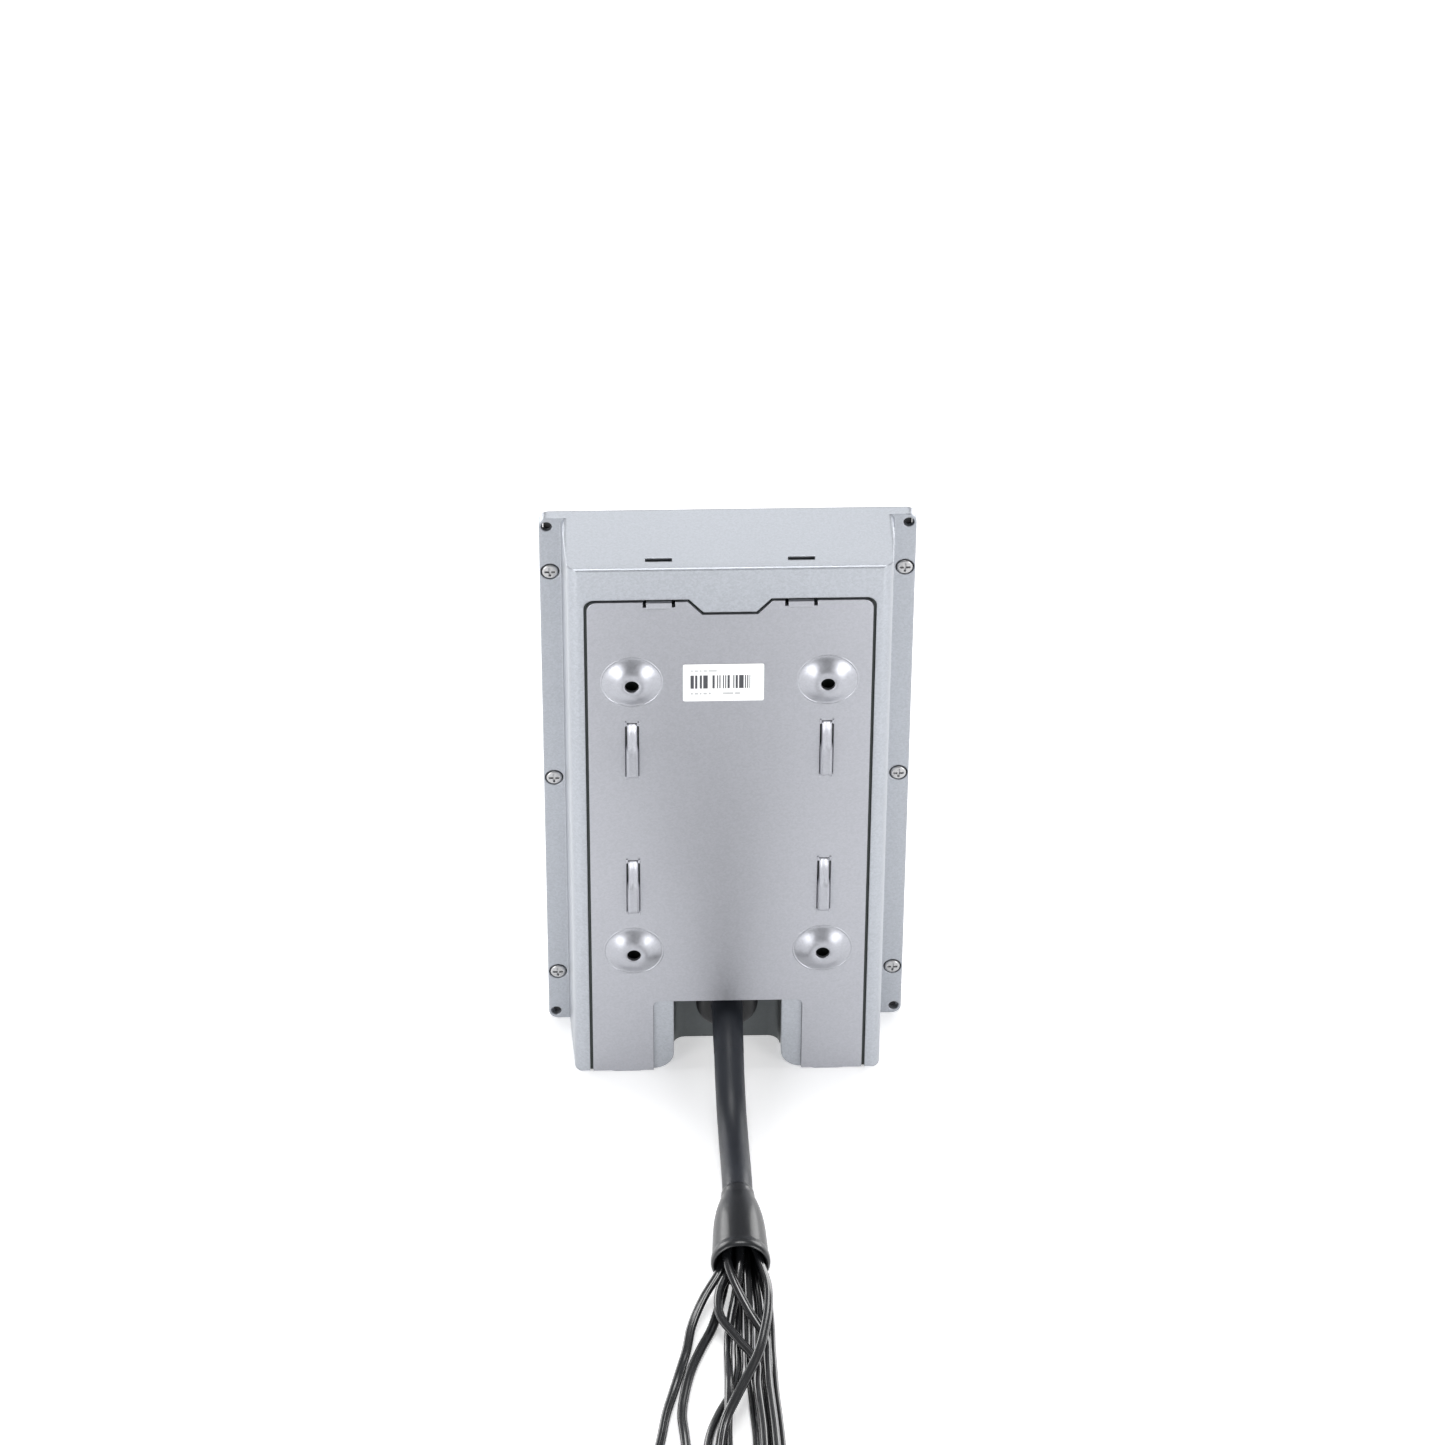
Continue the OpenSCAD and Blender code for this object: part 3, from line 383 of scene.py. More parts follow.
@dataclass(frozen=True)
class FlakePaint(Finish):
    """Silver paint with metal flake and a slight orange peel, with painted shade in the bay, on the plate's seat and
    in the top slots.
    """

    flake: float = 1500.0
    sparkle: float = 0.16
    # Colour of the painted shade in the bay, on the seat and in the slots.
    painted_shade_tone: Color = (0.05, 0.058, 0.056)
    bay: Tuple[Point, Point] = ((-0.0228, -0.0042, -0.001), (0.0228, 0.0095, 0.0532))
    seat: Tuple[Point, Point] = ((-0.0579, 0.0165, -0.001), (0.0579, 0.0183, 0.2476))
    legs: Tuple[Point, Point] = ((-0.0309, 0.0165, -0.001), (0.0309, 0.0183, 0.0384))
    slots: Tuple[Point, Point] = ((-0.0336, 0.0085, 0.232), (0.0336, 0.0138, 0.2615))

    def dress(self, shader: Shader) -> None:
        """Wires the nodes.

        Args:
            shader: The material's nodes.
        """
        flakes = shader.cells(self.flake)
        clouds = shader.noise(9.0, 3.0)
        peel = shader.noise(520.0, 2.0, 0.4)
        fine = shader.noise(self.grain, 2.0, 0.6)
        tone = shader.math("MULTIPLY_ADD", flakes, self.sparkle, 1.0 - self.sparkle / 2)
        tone = shader.math("MULTIPLY", tone,
            shader.math("MULTIPLY_ADD", clouds, self.mottle * 2, 1.0 - self.mottle))
        # Painted shade: darker deep in the bay, on the seat round the plate except where the notch leaves it open,
        # and in the top slots.
        painted_shade_or_blank = shader.math("MULTIPLY", shader.room(self.bay, 0.009), 0.86)
        painted_seat_shade = shader.math("SUBTRACT", 1.0, shader.room(self.legs, 0.0004))
        painted_seat_shade = shader.math("MULTIPLY", painted_seat_shade, shader.room(self.seat, 0.0004))
        slots = shader.math("MULTIPLY", shader.room(self.slots, 0.0004), 0.6)
        painted_shade_or_blank = shader.math("MAXIMUM", painted_shade_or_blank, shader.math("MAXIMUM", painted_seat_shade, slots))
        color = shader.blend(painted_shade_or_blank, shader.shade(self.color, tone), self.painted_shade_tone)
        shader.feed(shader.surface.inputs["Base Color"], color)
        gloss = shader.math("MULTIPLY_ADD", flakes, self.spread * 2, self.roughness - self.spread)
        shader.feed(shader.surface.inputs["Roughness"], gloss)
        rounded = shader.soft_edges(self.edge)
        peeled = shader.relief(peel, 0.00006, 0.35, rounded)
        shader.relief(fine, self.depth, 0.5, peeled)


@dataclass(frozen=True)
class BrushedMetal(Finish):
    """Bare metal with fine lines along one axis."""

    stretch: Point = (1.0, 1.0, 40.0)

    def dress(self, shader: Shader) -> None:
        """Wires the nodes.

        Args:
            shader: The material's nodes.
        """
        lines = shader.noise(160.0, 4.0, 0.7, self.stretch)
        clouds = shader.noise(60.0, 2.0)
        tone = shader.math("MULTIPLY_ADD", clouds, self.mottle * 2, 1.0 - self.mottle)
        shader.feed(shader.surface.inputs["Base Color"], shader.shade(self.color, tone))
        gloss = shader.math("MULTIPLY_ADD", lines, self.spread * 3, self.roughness - self.spread)
        shader.feed(shader.surface.inputs["Roughness"], gloss)
        under = shader.soft_edges(self.edge) if self.edge > 0 else None
        shader.relief(lines, self.depth, 0.5, under)


@dataclass(frozen=True)
class BoardLacquer(Finish):
    """Circuit board: lacquer over tracks, with tinned pads."""

    track: Color = (0.03, 0.26, 0.12)
    pad: Color = (0.75, 0.72, 0.62)

    def dress(self, shader: Shader) -> None:
        """Wires the nodes.

        Args:
            shader: The material's nodes.
        """
        tracks = self.node_bricks(shader)
        dots = shader.node("ShaderNodeTexVoronoi")
        shader.feed(dots.inputs["Vector"], shader.place)
        shader.feed(dots.inputs["Scale"], 330.0)
        pads = shader.span(dots.outputs["Distance"], 0.16, 0.2, 1.0, 0.0)
        lacquer = shader.blend(tracks, self.color, self.track)
        shader.feed(shader.surface.inputs["Base Color"], shader.blend(pads, lacquer, self.pad))
        fine = shader.noise(self.grain, 2.0)
        shader.feed(shader.surface.inputs["Roughness"],
            shader.math("MULTIPLY_ADD", fine, 0.2, self.roughness - 0.1))
        shader.relief(shader.math("ADD", tracks, pads), self.depth, 0.7)

    def node_bricks(self, shader: Shader) -> Socket:
        """Makes the pattern of tracks.

        Args:
            shader: The material's nodes.

        Returns:
            1 on a track and 0 beside it.
        """
        turn = shader.node("ShaderNodeMapping")
        shader.feed(turn.inputs["Vector"], shader.place)
        turn.inputs["Rotation"].default_value = (math.pi / 2, 0.0, 0.0)
        waves = shader.node("ShaderNodeTexBrick", offset=0.37)
        shader.feed(waves.inputs["Vector"], turn.outputs[0])
        shader.feed(waves.inputs["Scale"], 260.0)
        shader.feed(waves.inputs["Mortar Size"], 0.035)
        return waves.outputs["Fac"]


@dataclass(frozen=True)
class LabelPaper(Finish):
    """White label with plain bars and short marks, and nothing to read."""

    bars_at: Pair = (0.00405, 0.2064)
    bars_size: Pair = (0.0243, 0.0066)
    bar: float = 0.00046
    ink: Color = (0.05, 0.052, 0.06)

    def dress(self, shader: Shader) -> None:
        """Wires the nodes.

        Args:
            shader: The material's nodes.
        """
        x, _, _ = shader.axes()
        bars = self.stripes(shader, x, self.bar, 0.47)
        inked = shader.math("MULTIPLY", bars, shader.plaque(self.bars_at, self.bars_size, 0.0001))
        marks = [((0.0107, 0.2119), (0.011, 0.0008)), ((0.0115, 0.2006), (0.008, 0.001)),
            ((-0.0006, 0.2006), (0.007, 0.001))]
        dashes = self.stripes(shader, x, 0.0007, 0.25)
        for centre, size in marks:
            dash = shader.math("MULTIPLY", shader.plaque(centre, size, 0.0001), dashes)
            inked = shader.math("MAXIMUM", inked, shader.math("MULTIPLY", dash, 0.5))
        fibre = shader.noise(1400.0, 3.0)
        paper = shader.shade(self.color, shader.math("MULTIPLY_ADD", fibre, 0.06, 0.97))
        shader.feed(shader.surface.inputs["Base Color"], shader.blend(inked, paper, self.ink))
        shader.feed(shader.surface.inputs["Roughness"],
            shader.math("MULTIPLY_ADD", fibre, 0.16, self.roughness - 0.08))
        shader.relief(fibre, self.depth, 0.4)

    @staticmethod
    def stripes(shader: Shader, x: Socket, step: float, painted_shade_or_blank: float) -> Socket:
        """Makes stripes of mixed widths.

        Args:
            shader: The material's nodes.
            x: Place across the stripes.
            step: Width of the thinnest stripe.
            painted_shade_or_blank: Share of the steps without ink.

        Returns:
            1 on a stripe and 0 beside it.
        """
        stepped = shader.math("SNAP", x, step)
        chance = shader.node("ShaderNodeTexWhiteNoise", noise_dimensions="1D")
        shader.feed(chance.inputs["W"], shader.math("MULTIPLY", stepped, 7919.0))
        return shader.math("GREATER_THAN", chance.outputs["Value"], painted_shade_or_blank)


@dataclass(frozen=True)
class FrontGlass(Finish):
    """Dark front glass: a printed border, a lit screen, a reader's ring and a scanner's window."""

    screen_at: Pair = (0.0, 0.156)
    screen_size: Pair = (0.1086, 0.176)
    lit: Color = (0.055, 0.12, 0.17)
    tile: Color = (0.2, 0.42, 0.5)
    bright: Color = (0.62, 0.72, 0.74)
    go: Color = (0.1, 0.42, 0.24)
    window_at: Pair = (-0.048, 0.037)
    window_size: Pair = (0.018, 0.014)
    reader_at: Pair = (0.0, 0.037)
    reader_size: Pair = (0.046, 0.034)
    glow: float = 0.9

    def dress(self, shader: Shader) -> None:
        """Wires the nodes.

        Args:
            shader: The material's nodes.
        """
        screen = shader.plaque(self.screen_at, self.screen_size, 0.001)
        _, _, z = shader.axes()
        fall = shader.span(z, self.screen_at[1] - 0.09, self.screen_at[1] + 0.09, 0.55, 1.15)
        picture = shader.shade(self.lit, fall)
        for centre, size, corner, tone in self.tiles():
            mask = shader.plaque(centre, size, corner, 0.00012)
            picture = shader.blend(mask, picture, tone)
        lines = shader.noise(2400.0, 1.0, 0.5, (1.0, 1.0, 0.02))
        shown = shader.node("ShaderNodeVectorMath", operation="SCALE")
        shader.feed(shown.inputs[0], picture)
        shader.feed(shown.inputs["Scale"],
            shader.math("MULTIPLY", screen, shader.math("MULTIPLY_ADD", lines, 0.12, 0.94)))
        shader.feed(shader.surface.inputs["Emission Color"], shown.outputs[0])
        shader.surface.inputs["Emission Strength"].default_value = self.glow
        ring = shader.math("SUBTRACT", shader.plaque(self.reader_at, self.reader_size, 0.006),
                           shader.plaque(self.reader_at,
                               (self.reader_size[0] - 0.0012, self.reader_size[1] - 0.0012), 0.0054))
        window = shader.plaque(self.window_at, self.window_size, 0.002)
        printed = shader.blend(shader.math("MAXIMUM", ring, 0.0), self.color, (0.42, 0.44, 0.46))
        printed = shader.blend(window, printed, (0.07, 0.004, 0.006))
        shader.feed(shader.surface.inputs["Base Color"], shader.blend(screen, printed, (0.006, 0.008, 0.01)))
        smears = shader.noise(26.0, 5.0, 0.65, (1.0, 1.0, 0.35))
        shader.feed(shader.surface.inputs["Roughness"],
            shader.span(smears, 0.35, 0.8, self.roughness, self.roughness + 0.09))

    def tiles(self) -> List[Tuple[Pair, Pair, float, Color]]:
        """Returns the shapes on the screen: a bar, a panel, tiles and a wide key."""
        cx, cz = self.screen_at
        shapes = [((cx, cz + 0.0805), (0.1086, 0.015), 0.0001, self.tile),
            ((cx, cz + 0.047), (0.098, 0.04), 0.003, self.bright)]
        shapes += [((cx - 0.032, cz + 0.047), (0.022, 0.022), 0.011, self.tile)]
        shapes += [((cx + 0.013, cz + 0.055), (0.05, 0.004), 0.002, self.lit),
            ((cx + 0.006, cz + 0.044), (0.036, 0.004), 0.002, self.lit)]
        for row in range(2):
            for column in range(3):
                shapes.append(((cx + (column - 1) * 0.0335, cz + 0.004 - row * 0.034), (0.0305, 0.031),
                    0.003, self.tile))
                shapes.append(((cx + (column - 1) * 0.0335, cz + 0.008 - row * 0.034), (0.012, 0.012),
                    0.003 + 0.003 * row, self.bright))
        shapes.append(((cx, cz - 0.069), (0.098, 0.022), 0.004, self.go))
        shapes.append(((cx, cz - 0.069), (0.04, 0.004), 0.002, self.bright))
        return shapes


# The shell's paint carries painted shade in its bay, seat and slots; the plate's paint moves these boxes out of
# reach and has none.
SHELL_PAINT = FlakePaint("shell_paint", (0.41, 0.43, 0.465), 0.38, 0.66, edge=0.0009, depth=0.00001)
PLATE_PAINT = FlakePaint("plate_paint", (0.4, 0.407, 0.44), 0.33, 0.8, edge=0.0003, depth=0.000006,
    spread=0.03, sparkle=0.1,
                         bay=((0, 0, -2), (1, 1, -1)), seat=((0, 0, -2), (1, 1, -1)),
                             slots=((0, 0, -2), (1, 1, -1)))
BRIGHT_STEEL = BrushedMetal("bright_steel", (0.46, 0.46, 0.465), 0.27, 1.0, edge=0.0002, depth=0.000008)
DARK_STEEL = BrushedMetal("blackened_steel", (0.12, 0.12, 0.125), 0.38, 0.9, edge=0.0002)
SHEET_STEEL = BrushedMetal("zinc_sheet", (0.62, 0.63, 0.64), 0.34, 1.0, stretch=(30.0, 1.0, 1.0))
TURNED_METAL = BrushedMetal("turned_aluminium", (0.68, 0.69, 0.7), 0.26, 1.0, edge=0.0003,
    stretch=(20.0, 1.0, 20.0))
CAST_ALLOY = Finish("heat_block_alloy", (0.6, 0.61, 0.62), 0.42, 1.0, grain=1200.0, depth=0.00004)
SEAL_RUBBER = Finish("seal_rubber", (0.02, 0.02, 0.021), 0.72, grain=3200.0)
FRAME_PLASTIC = Finish("frame_plastic", (0.014, 0.014, 0.016), 0.5, grain=1800.0, depth=0.00005)
GLAND_PLASTIC = Finish("gland_nylon", (0.006, 0.0065, 0.0075), 0.5, grain=2200.0, depth=0.00003, edge=0.0005)
JACKET = Finish("lead_jacket", (0.022, 0.025, 0.032), 0.4, grain=1500.0, depth=0.00005, mottle=0.12)
BOOT = Finish("moulded_boot", (0.011, 0.012, 0.014), 0.33, coat=0.2, grain=900.0, depth=0.00005, edge=0.0004)
BOOT_INSIDE = Finish("boot_throat", (0.003, 0.003, 0.003), 0.85)
TAIL_JACKET = Finish("tail_jacket", (0.009, 0.0095, 0.011), 0.25, coat=0.75, grain=700.0,
    depth=0.000008, mottle=0.15,
                     spread=0.03)
PLUG_PLASTIC = Finish("plug_nylon", (0.02, 0.02, 0.022), 0.46, grain=1900.0, depth=0.00004, edge=0.0003)
CONTACT_METAL = BrushedMetal("tinned_contact", (0.78, 0.74, 0.62), 0.28, 1.0)
SWITCH_PLASTIC = Finish("switch_plastic", (0.03, 0.03, 0.033), 0.5)
CHIP_PLASTIC = Finish("chip_epoxy", (0.025, 0.025, 0.027), 0.55, grain=4200.0, depth=0.00003)
RELAY_PLASTIC = Finish("relay_blue", (0.02, 0.06, 0.2), 0.42)
PLUNGER_RED = Finish("plunger_red", (0.36, 0.03, 0.025), 0.4)
BUTTON_BLUE = Finish("button_blue", (0.035, 0.16, 0.42), 0.22, coat=0.5, grain=1100.0, edge=0.0005)
FILM = Finish("amber_film", (0.4, 0.2, 0.04), 0.3, coat=0.4)
LIGHT_PLASTIC = Finish("opal_light", (0.8, 0.82, 0.84), 0.35)
LENS = Finish("scanner_lens", (0.08, 0.1, 0.13), 0.06, coat=1.0, depth=0.0)
DISPLAY = Finish("display_back", (0.3, 0.31, 0.32), 0.35, 0.6)
BOARD = BoardLacquer("circuit_board", (0.012, 0.13, 0.06), 0.36, depth=0.00004)
PAPER = LabelPaper("label_paper", (0.9, 0.905, 0.91), 0.42)
GLASS = FrontGlass("front_glass", (0.006, 0.0065, 0.008), 0.05, coat=1.0)

NODE_FINISHES: Dict[str, Finish] = {
    "rear_housing": SHELL_PAINT, "lock_screws": DARK_STEEL, "housing_screws": BRIGHT_STEEL,
    "housing_gasket": SEAL_RUBBER, "front_frame": FRAME_PLASTIC, "cover_glass": GLASS,
        "display_panel": DISPLAY,
    "display_bracket": SHEET_STEEL, "display_screws": BRIGHT_STEEL, "display_ribbon": FILM,
        "main_board": BOARD,
    "board_parts": CHIP_PLASTIC, "board_screws": BRIGHT_STEEL, "heat_spreader": CAST_ALLOY, "io_board": BOARD,
    "io_parts": RELAY_PLASTIC, "io_screws": BRIGHT_STEEL, "antenna_board": BOARD,
        "scanner_module": SWITCH_PLASTIC,
    "scanner_lens": LENS, "speaker": SWITCH_PLASTIC, "microphone": SWITCH_PLASTIC,
        "light_guide": LIGHT_PLASTIC,
    "led_board": BOARD, "call_switch": SWITCH_PLASTIC, "button_ring": TURNED_METAL,
        "call_button": BUTTON_BLUE,
    "tamper_switch": SWITCH_PLASTIC, "tamper_plunger": PLUNGER_RED, "gland_body": GLAND_PLASTIC,
    "gland_nut": GLAND_PLASTIC, "gland_seal": SEAL_RUBBER, "gland_locknut": GLAND_PLASTIC,
        "inner_leads": JACKET,
}


# --- Shapes -----------------------------------------------------------------------------------


@dataclass
class Form:
    """A mesh in the making."""

    points: List[Vector] = field(default_factory=list)
    faces: List[Tuple[int, ...]] = field(default_factory=list)

    def add(self, points: Sequence[Vector], faces: Sequence[Sequence[int]]) -> None:
        """Adds points and the faces between them.

        Args:
            points: The new points.
            faces: Faces, as indices into the new points.
        """
        start = len(self.points)
        self.points.extend(Vector(p) for p in points)
        self.faces.extend(tuple(start + i for i in f) for f in faces)

    def lathe(self, profile: Sequence[Pair], at: Point = (0.0, 0.0, 0.0), steps: int = 48,
        ring: bool = False) -> None:
        """Turns a profile about an axis along Y.

        Args:
            profile: Radius and place along the axis, point by point.
            at: Where the axis starts.
            steps: Steps in a turn.
            ring: Whether the profile's end joins its start.
        """
        rings = []
        for radius, along in profile:
            for k in range(steps):
                angle = math.tau * k / steps
                rings.append(Vector(at) + Vector((radius * math.cos(angle), along, radius * math.sin(angle))))
        faces = []
        count = len(profile)
        for i in range(count if ring else count - 1):
            j = (i + 1) % count
            for k in range(steps):
                m = (k + 1) % steps
                faces.append((i * steps + k, i * steps + m, j * steps + m, j * steps + k))
        self.add(rings, faces)

    def block(self, low: Point, high: Point, corner: float) -> None:
        """Adds a box whose upright edges, along Y, are cut back.

        Args:
            low: Lowest corner.
            high: Highest corner.
            corner: How far the edges are cut back.
        """
        outline = []
        for cx, cz, start in ((high[0] - corner, high[2] - corner, 0), (low[0] + corner, high[2] - corner, 1),
                              (low[0] + corner, low[2] + corner, 2), (high[0] - corner, low[2] + corner, 3)):
            for k in range(4):
                angle = math.pi / 2 * (start + k / 3)
                outline.append((cx + corner * math.cos(angle), cz + corner * math.sin(angle)))
        count = len(outline)
        inset = corner * 0.5
        rings = []
        for y, shrink in ((low[1], inset), (low[1] + inset, 0.0), (high[1] - inset, 0.0), (high[1], inset)):
            for x, z in outline:
                mid_x, mid_z = (low[0] + high[0]) / 2, (low[2] + high[2]) / 2
                wide, tall = (high[0] - low[0]) / 2, (high[2] - low[2]) / 2
                rings.append(Vector((mid_x + (x - mid_x) * (1 - shrink / wide), y,
                    mid_z + (z - mid_z) * (1 - shrink / tall))))
        faces: List[Tuple[int, ...]] = [tuple(range(count - 1, -1, -1)), tuple(range(3 * count, 4 * count))]
        for i in range(3):
            for k in range(count):
                m = (k + 1) % count
                faces.append((i * count + k, i * count + m, (i + 1) * count + m, (i + 1) * count + k))
        self.add(rings, faces)

    def sweep(self, path: Sequence[Vector], section: Sequence[Pair], twist: Sequence[float]) -> None:
        """Sweeps a section along a path.

        Args:
            path: Points of the centre line.
            section: The outline, across and up.
            twist: Turn of the outline at each point, in radians.
        """
        count = len(section)
        rings, faces = [], []
        for i, point in enumerate(path):
            ahead = (path[min(i + 1, len(path) - 1)] - path[max(i - 1, 0)]).normalized()
            side = Vector((0.0, 0.0, 1.0)).cross(ahead).normalized()
            rise = ahead.cross(side)
            turn = twist[i]
            for a, b in section:
                across = a * math.cos(turn) - b * math.sin(turn)
                up = a * math.sin(turn) + b * math.cos(turn)
                rings.append(point + side * across + rise * up)
        for i in range(len(path) - 1):
            for k in range(count):
                m = (k + 1) % count
                faces.append((i * count + k, i * count + m, (i + 1) * count + m, (i + 1) * count + k))
        faces.append(tuple(range(count - 1, -1, -1)))
        faces.append(tuple((len(path) - 1) * count + k for k in range(count)))
        self.add(rings, faces)

    def build(self, name: str, finish: Finish, body: str, slot: str, bevel: float = 0.0) -> bpy.types.Object:
        """Makes the piece.

        Args:
            name: Its name.
            finish: Its finish.
            body: The body it rides on.
            slot: The record's material slot. Not used.
            bevel: Width of its edge rounds.

        Returns:
            The new object.
        """
        mesh = bpy.data.meshes.new(name)
        mesh.from_pydata([tuple(p) for p in self.points], [], self.faces)
        solid = bmesh.new()
        solid.from_mesh(mesh)
        bmesh.ops.remove_doubles(solid, verts=solid.verts, dist=0.000001)
        bmesh.ops.recalc_face_normals(solid, faces=solid.faces)
        solid.to_mesh(mesh)
        solid.free()
        mesh.validate()
        mesh.shade_smooth()
        mesh.set_sharp_from_angle(angle=math.radians(38))
        piece = bpy.data.objects.new(name, mesh)
        bpy.context.scene.collection.objects.link(piece)
        mesh.materials.append(finish.build())
        if bevel > 0:
            edge = piece.modifiers.new("edges", "BEVEL")
            edge.width = bevel
            edge.segments = 2
            edge.limit_method = "ANGLE"
            edge.angle_limit = math.radians(38)
        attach(piece, body)
        log.info("%s: %d faces on %s", name, len(self.faces), body)
        return piece


class Route:
    """A smooth centre line through chosen points."""

    def __init__(self, stations: Sequence[Point], step: float = 0.0025) -> None:
        """Runs a smooth line through stations.

        Args:
            stations: The chosen points, in metres.
            step: Distance between the line's own points.
        """
        knots = [Vector(p) for p in stations]
        dense: List[Vector] = []
        for i in range(len(knots) - 1):
            before, after = knots[max(i - 1, 0)], knots[min(i + 2, len(knots) - 1)]
            for k in range(12):
                dense.append(self._between(before, knots[i], knots[i + 1], after, k / 12))
        dense.append(knots[-1])
        self.points = self._even(dense, step)

    @staticmethod
    def _between(a: Vector, b: Vector, c: Vector, d: Vector, t: float) -> Vector:
        """Returns a point of the curve between b and c."""
        return 0.5 * ((2 * b) + (c - a) * t + (2 * a - 5 * b + 4 * c - d) * t * t + (3 * b - a - 3 * c + d) * t ** 3)

    @staticmethod
    def _even(dense: Sequence[Vector], step: float) -> List[Vector]:
        """Returns points at even steps along a line."""
        lengths = [0.0]
        for a, b in zip(dense, dense[1:]):
            lengths.append(lengths[-1] + (b - a).length)
        count = max(2, round(lengths[-1] / step))
        points, i = [], 0
        for k in range(count + 1):
            want = lengths[-1] * k / count
            while i < len(dense) - 2 and lengths[i + 1] < want:
                i += 1
            share = (want - lengths[i]) / max(lengths[i + 1] - lengths[i], 1e-9)
            points.append(dense[i].lerp(dense[i + 1], min(max(share, 0.0), 1.0)))
        return points

    @property
    def length(self) -> float:
        """Length of the line in metres."""
        return sum((b - a).length for a, b in zip(self.points, self.points[1:]))


def circle(radius: float, steps: int) -> List[Pair]:
    """Makes a round section.

    Args:
        radius: Its radius.
        steps: Its points.

    Returns:
        The outline.
    """
    return [(radius * math.cos(math.tau * k / steps),
        radius * math.sin(math.tau * k / steps)) for k in range(steps)]


def twin(width: float, core: float, steps: int = 9) -> List[Pair]:
    """Makes the section of a flat twin lead: two round cores with a web between them.

    Args:
        width: Whole width.
        core: Diameter of a core.
        steps: Points round each core.

    Returns:
        The outline.
    """
    offset = width / 2 - core / 2
    outline = []
    for sign, start in ((1, -135), (-1, 45)):
        for k in range(steps):
            angle = math.radians(start + 270 * k / (steps - 1))
            outline.append((sign * offset + core / 2 * math.cos(angle), core / 2 * math.sin(angle)))
    return outline


# --- Studio -----------------------------------------------------------------------------------


@dataclass
class Studio:
    """Camera, floor and soft light."""

    eye: Point = (0.0543, 1.6638, 1.47174)
    ahead: Point = (-0.02465177, -0.78754737, -0.61576085)
    right: Point = (-0.99959409, 0.02821719, 0.0039291)
    lens: float = 130.2
    floor_size: float = 14.0
    floor_tone: Color = (0.93, 0.93, 0.935)
    floor_glow: float = 0.42
    sky: float = 0.31

    def build(self) -> None:
        """Sets up the whole studio."""
        self.camera()
        self.floor()
        self.lights()

    def camera(self) -> None:
        """Puts the camera where the terminal is seen from behind and above."""
        data = bpy.data.cameras.new("camera")
        data.sensor_width = 36.0
        data.lens = self.lens
        data.clip_end = 60.0
        eye = bpy.data.objects.new("camera", data)
        ahead, right = Vector(self.ahead).normalized(), Vector(self.right).normalized()
        up = right.cross(ahead)
        turn = Matrix((right, up, -ahead)).transposed().to_4x4()
        eye.matrix_world = Matrix.Translation(self.eye) @ turn
        bpy.context.scene.collection.objects.link(eye)
        bpy.context.scene.camera = eye
        log.info("camera: %.1f mm lens", self.lens)

    def floor(self) -> None:
        """Lays a plain pale floor."""
        half = self.floor_size / 2
        mesh = bpy.data.meshes.new("floor")
        mesh.from_pydata([(-half, -half, 0), (half, -half, 0), (half, half, 0), (-half, half, 0)], [],
            [(0, 1, 2, 3)])
        floor = bpy.data.objects.new("floor", mesh)
        floor.location.z = -0.0001
        bpy.context.scene.collection.objects.link(floor)
        mesh.materials.append(Finish("floor_paper", self.floor_tone, 0.75, grain=400.0, mottle=0.004,
            depth=0.00001,
                                     glow=self.floor_glow).build())

    def lights(self) -> None:
        """Hangs the soft boxes and sets the sky."""
        world = bpy.data.worlds.new("sky")
        world.use_nodes = True
        sky = world.node_tree.nodes["Background"]
        sky.inputs[0].default_value = (0.97, 0.985, 1.0, 1.0)
        sky.inputs[1].default_value = self.sky
        bpy.context.scene.world = world
        self.softbox("overhead", (0.0, -0.15, 1.55), (0.0, 0.06, 0.0), (0.75, 0.5), 10.5)
        self.softbox("high_front", (0.0, -1.5, 1.15), (0.0, 0.0, 0.2), (1.4, 0.9), 7.2)
        for side, word in ((1, "left"), (-1, "right")):
            self.softbox(f"{word}_back_box", (side * 0.98, 1.15, 0.42), (0.0, 0.03, 0.12), (0.64, 0.85), 9.6)
            self.softbox(f"{word}_front_box", (side * 1.15, -1.05, 0.42), (0.0, 0.03, 0.1), (0.75, 0.8), 9.0)
        bpy.context.scene.view_settings.view_transform = "Standard"

    def softbox(self, name: str, at: Point, target: Point, size: Pair, watts: float) -> None:
        """Hangs one soft box.

        Args:
            name: Its name.
            at: Its place.
            target: What it points at.
            size: Its width and height.
            watts: Its power.
        """
        data = bpy.data.lights.new(name, "AREA")
        data.shape = "RECTANGLE"
        data.size, data.size_y = size
        data.energy = watts
        box = bpy.data.objects.new(name, data)
        box.location = at
        box.rotation_euler = (Vector(target) - Vector(at)).to_track_quat("-Z", "Y").to_euler()
        bpy.context.scene.collection.objects.link(box)


# --- Leads ------------------------------------------------------------------------------------


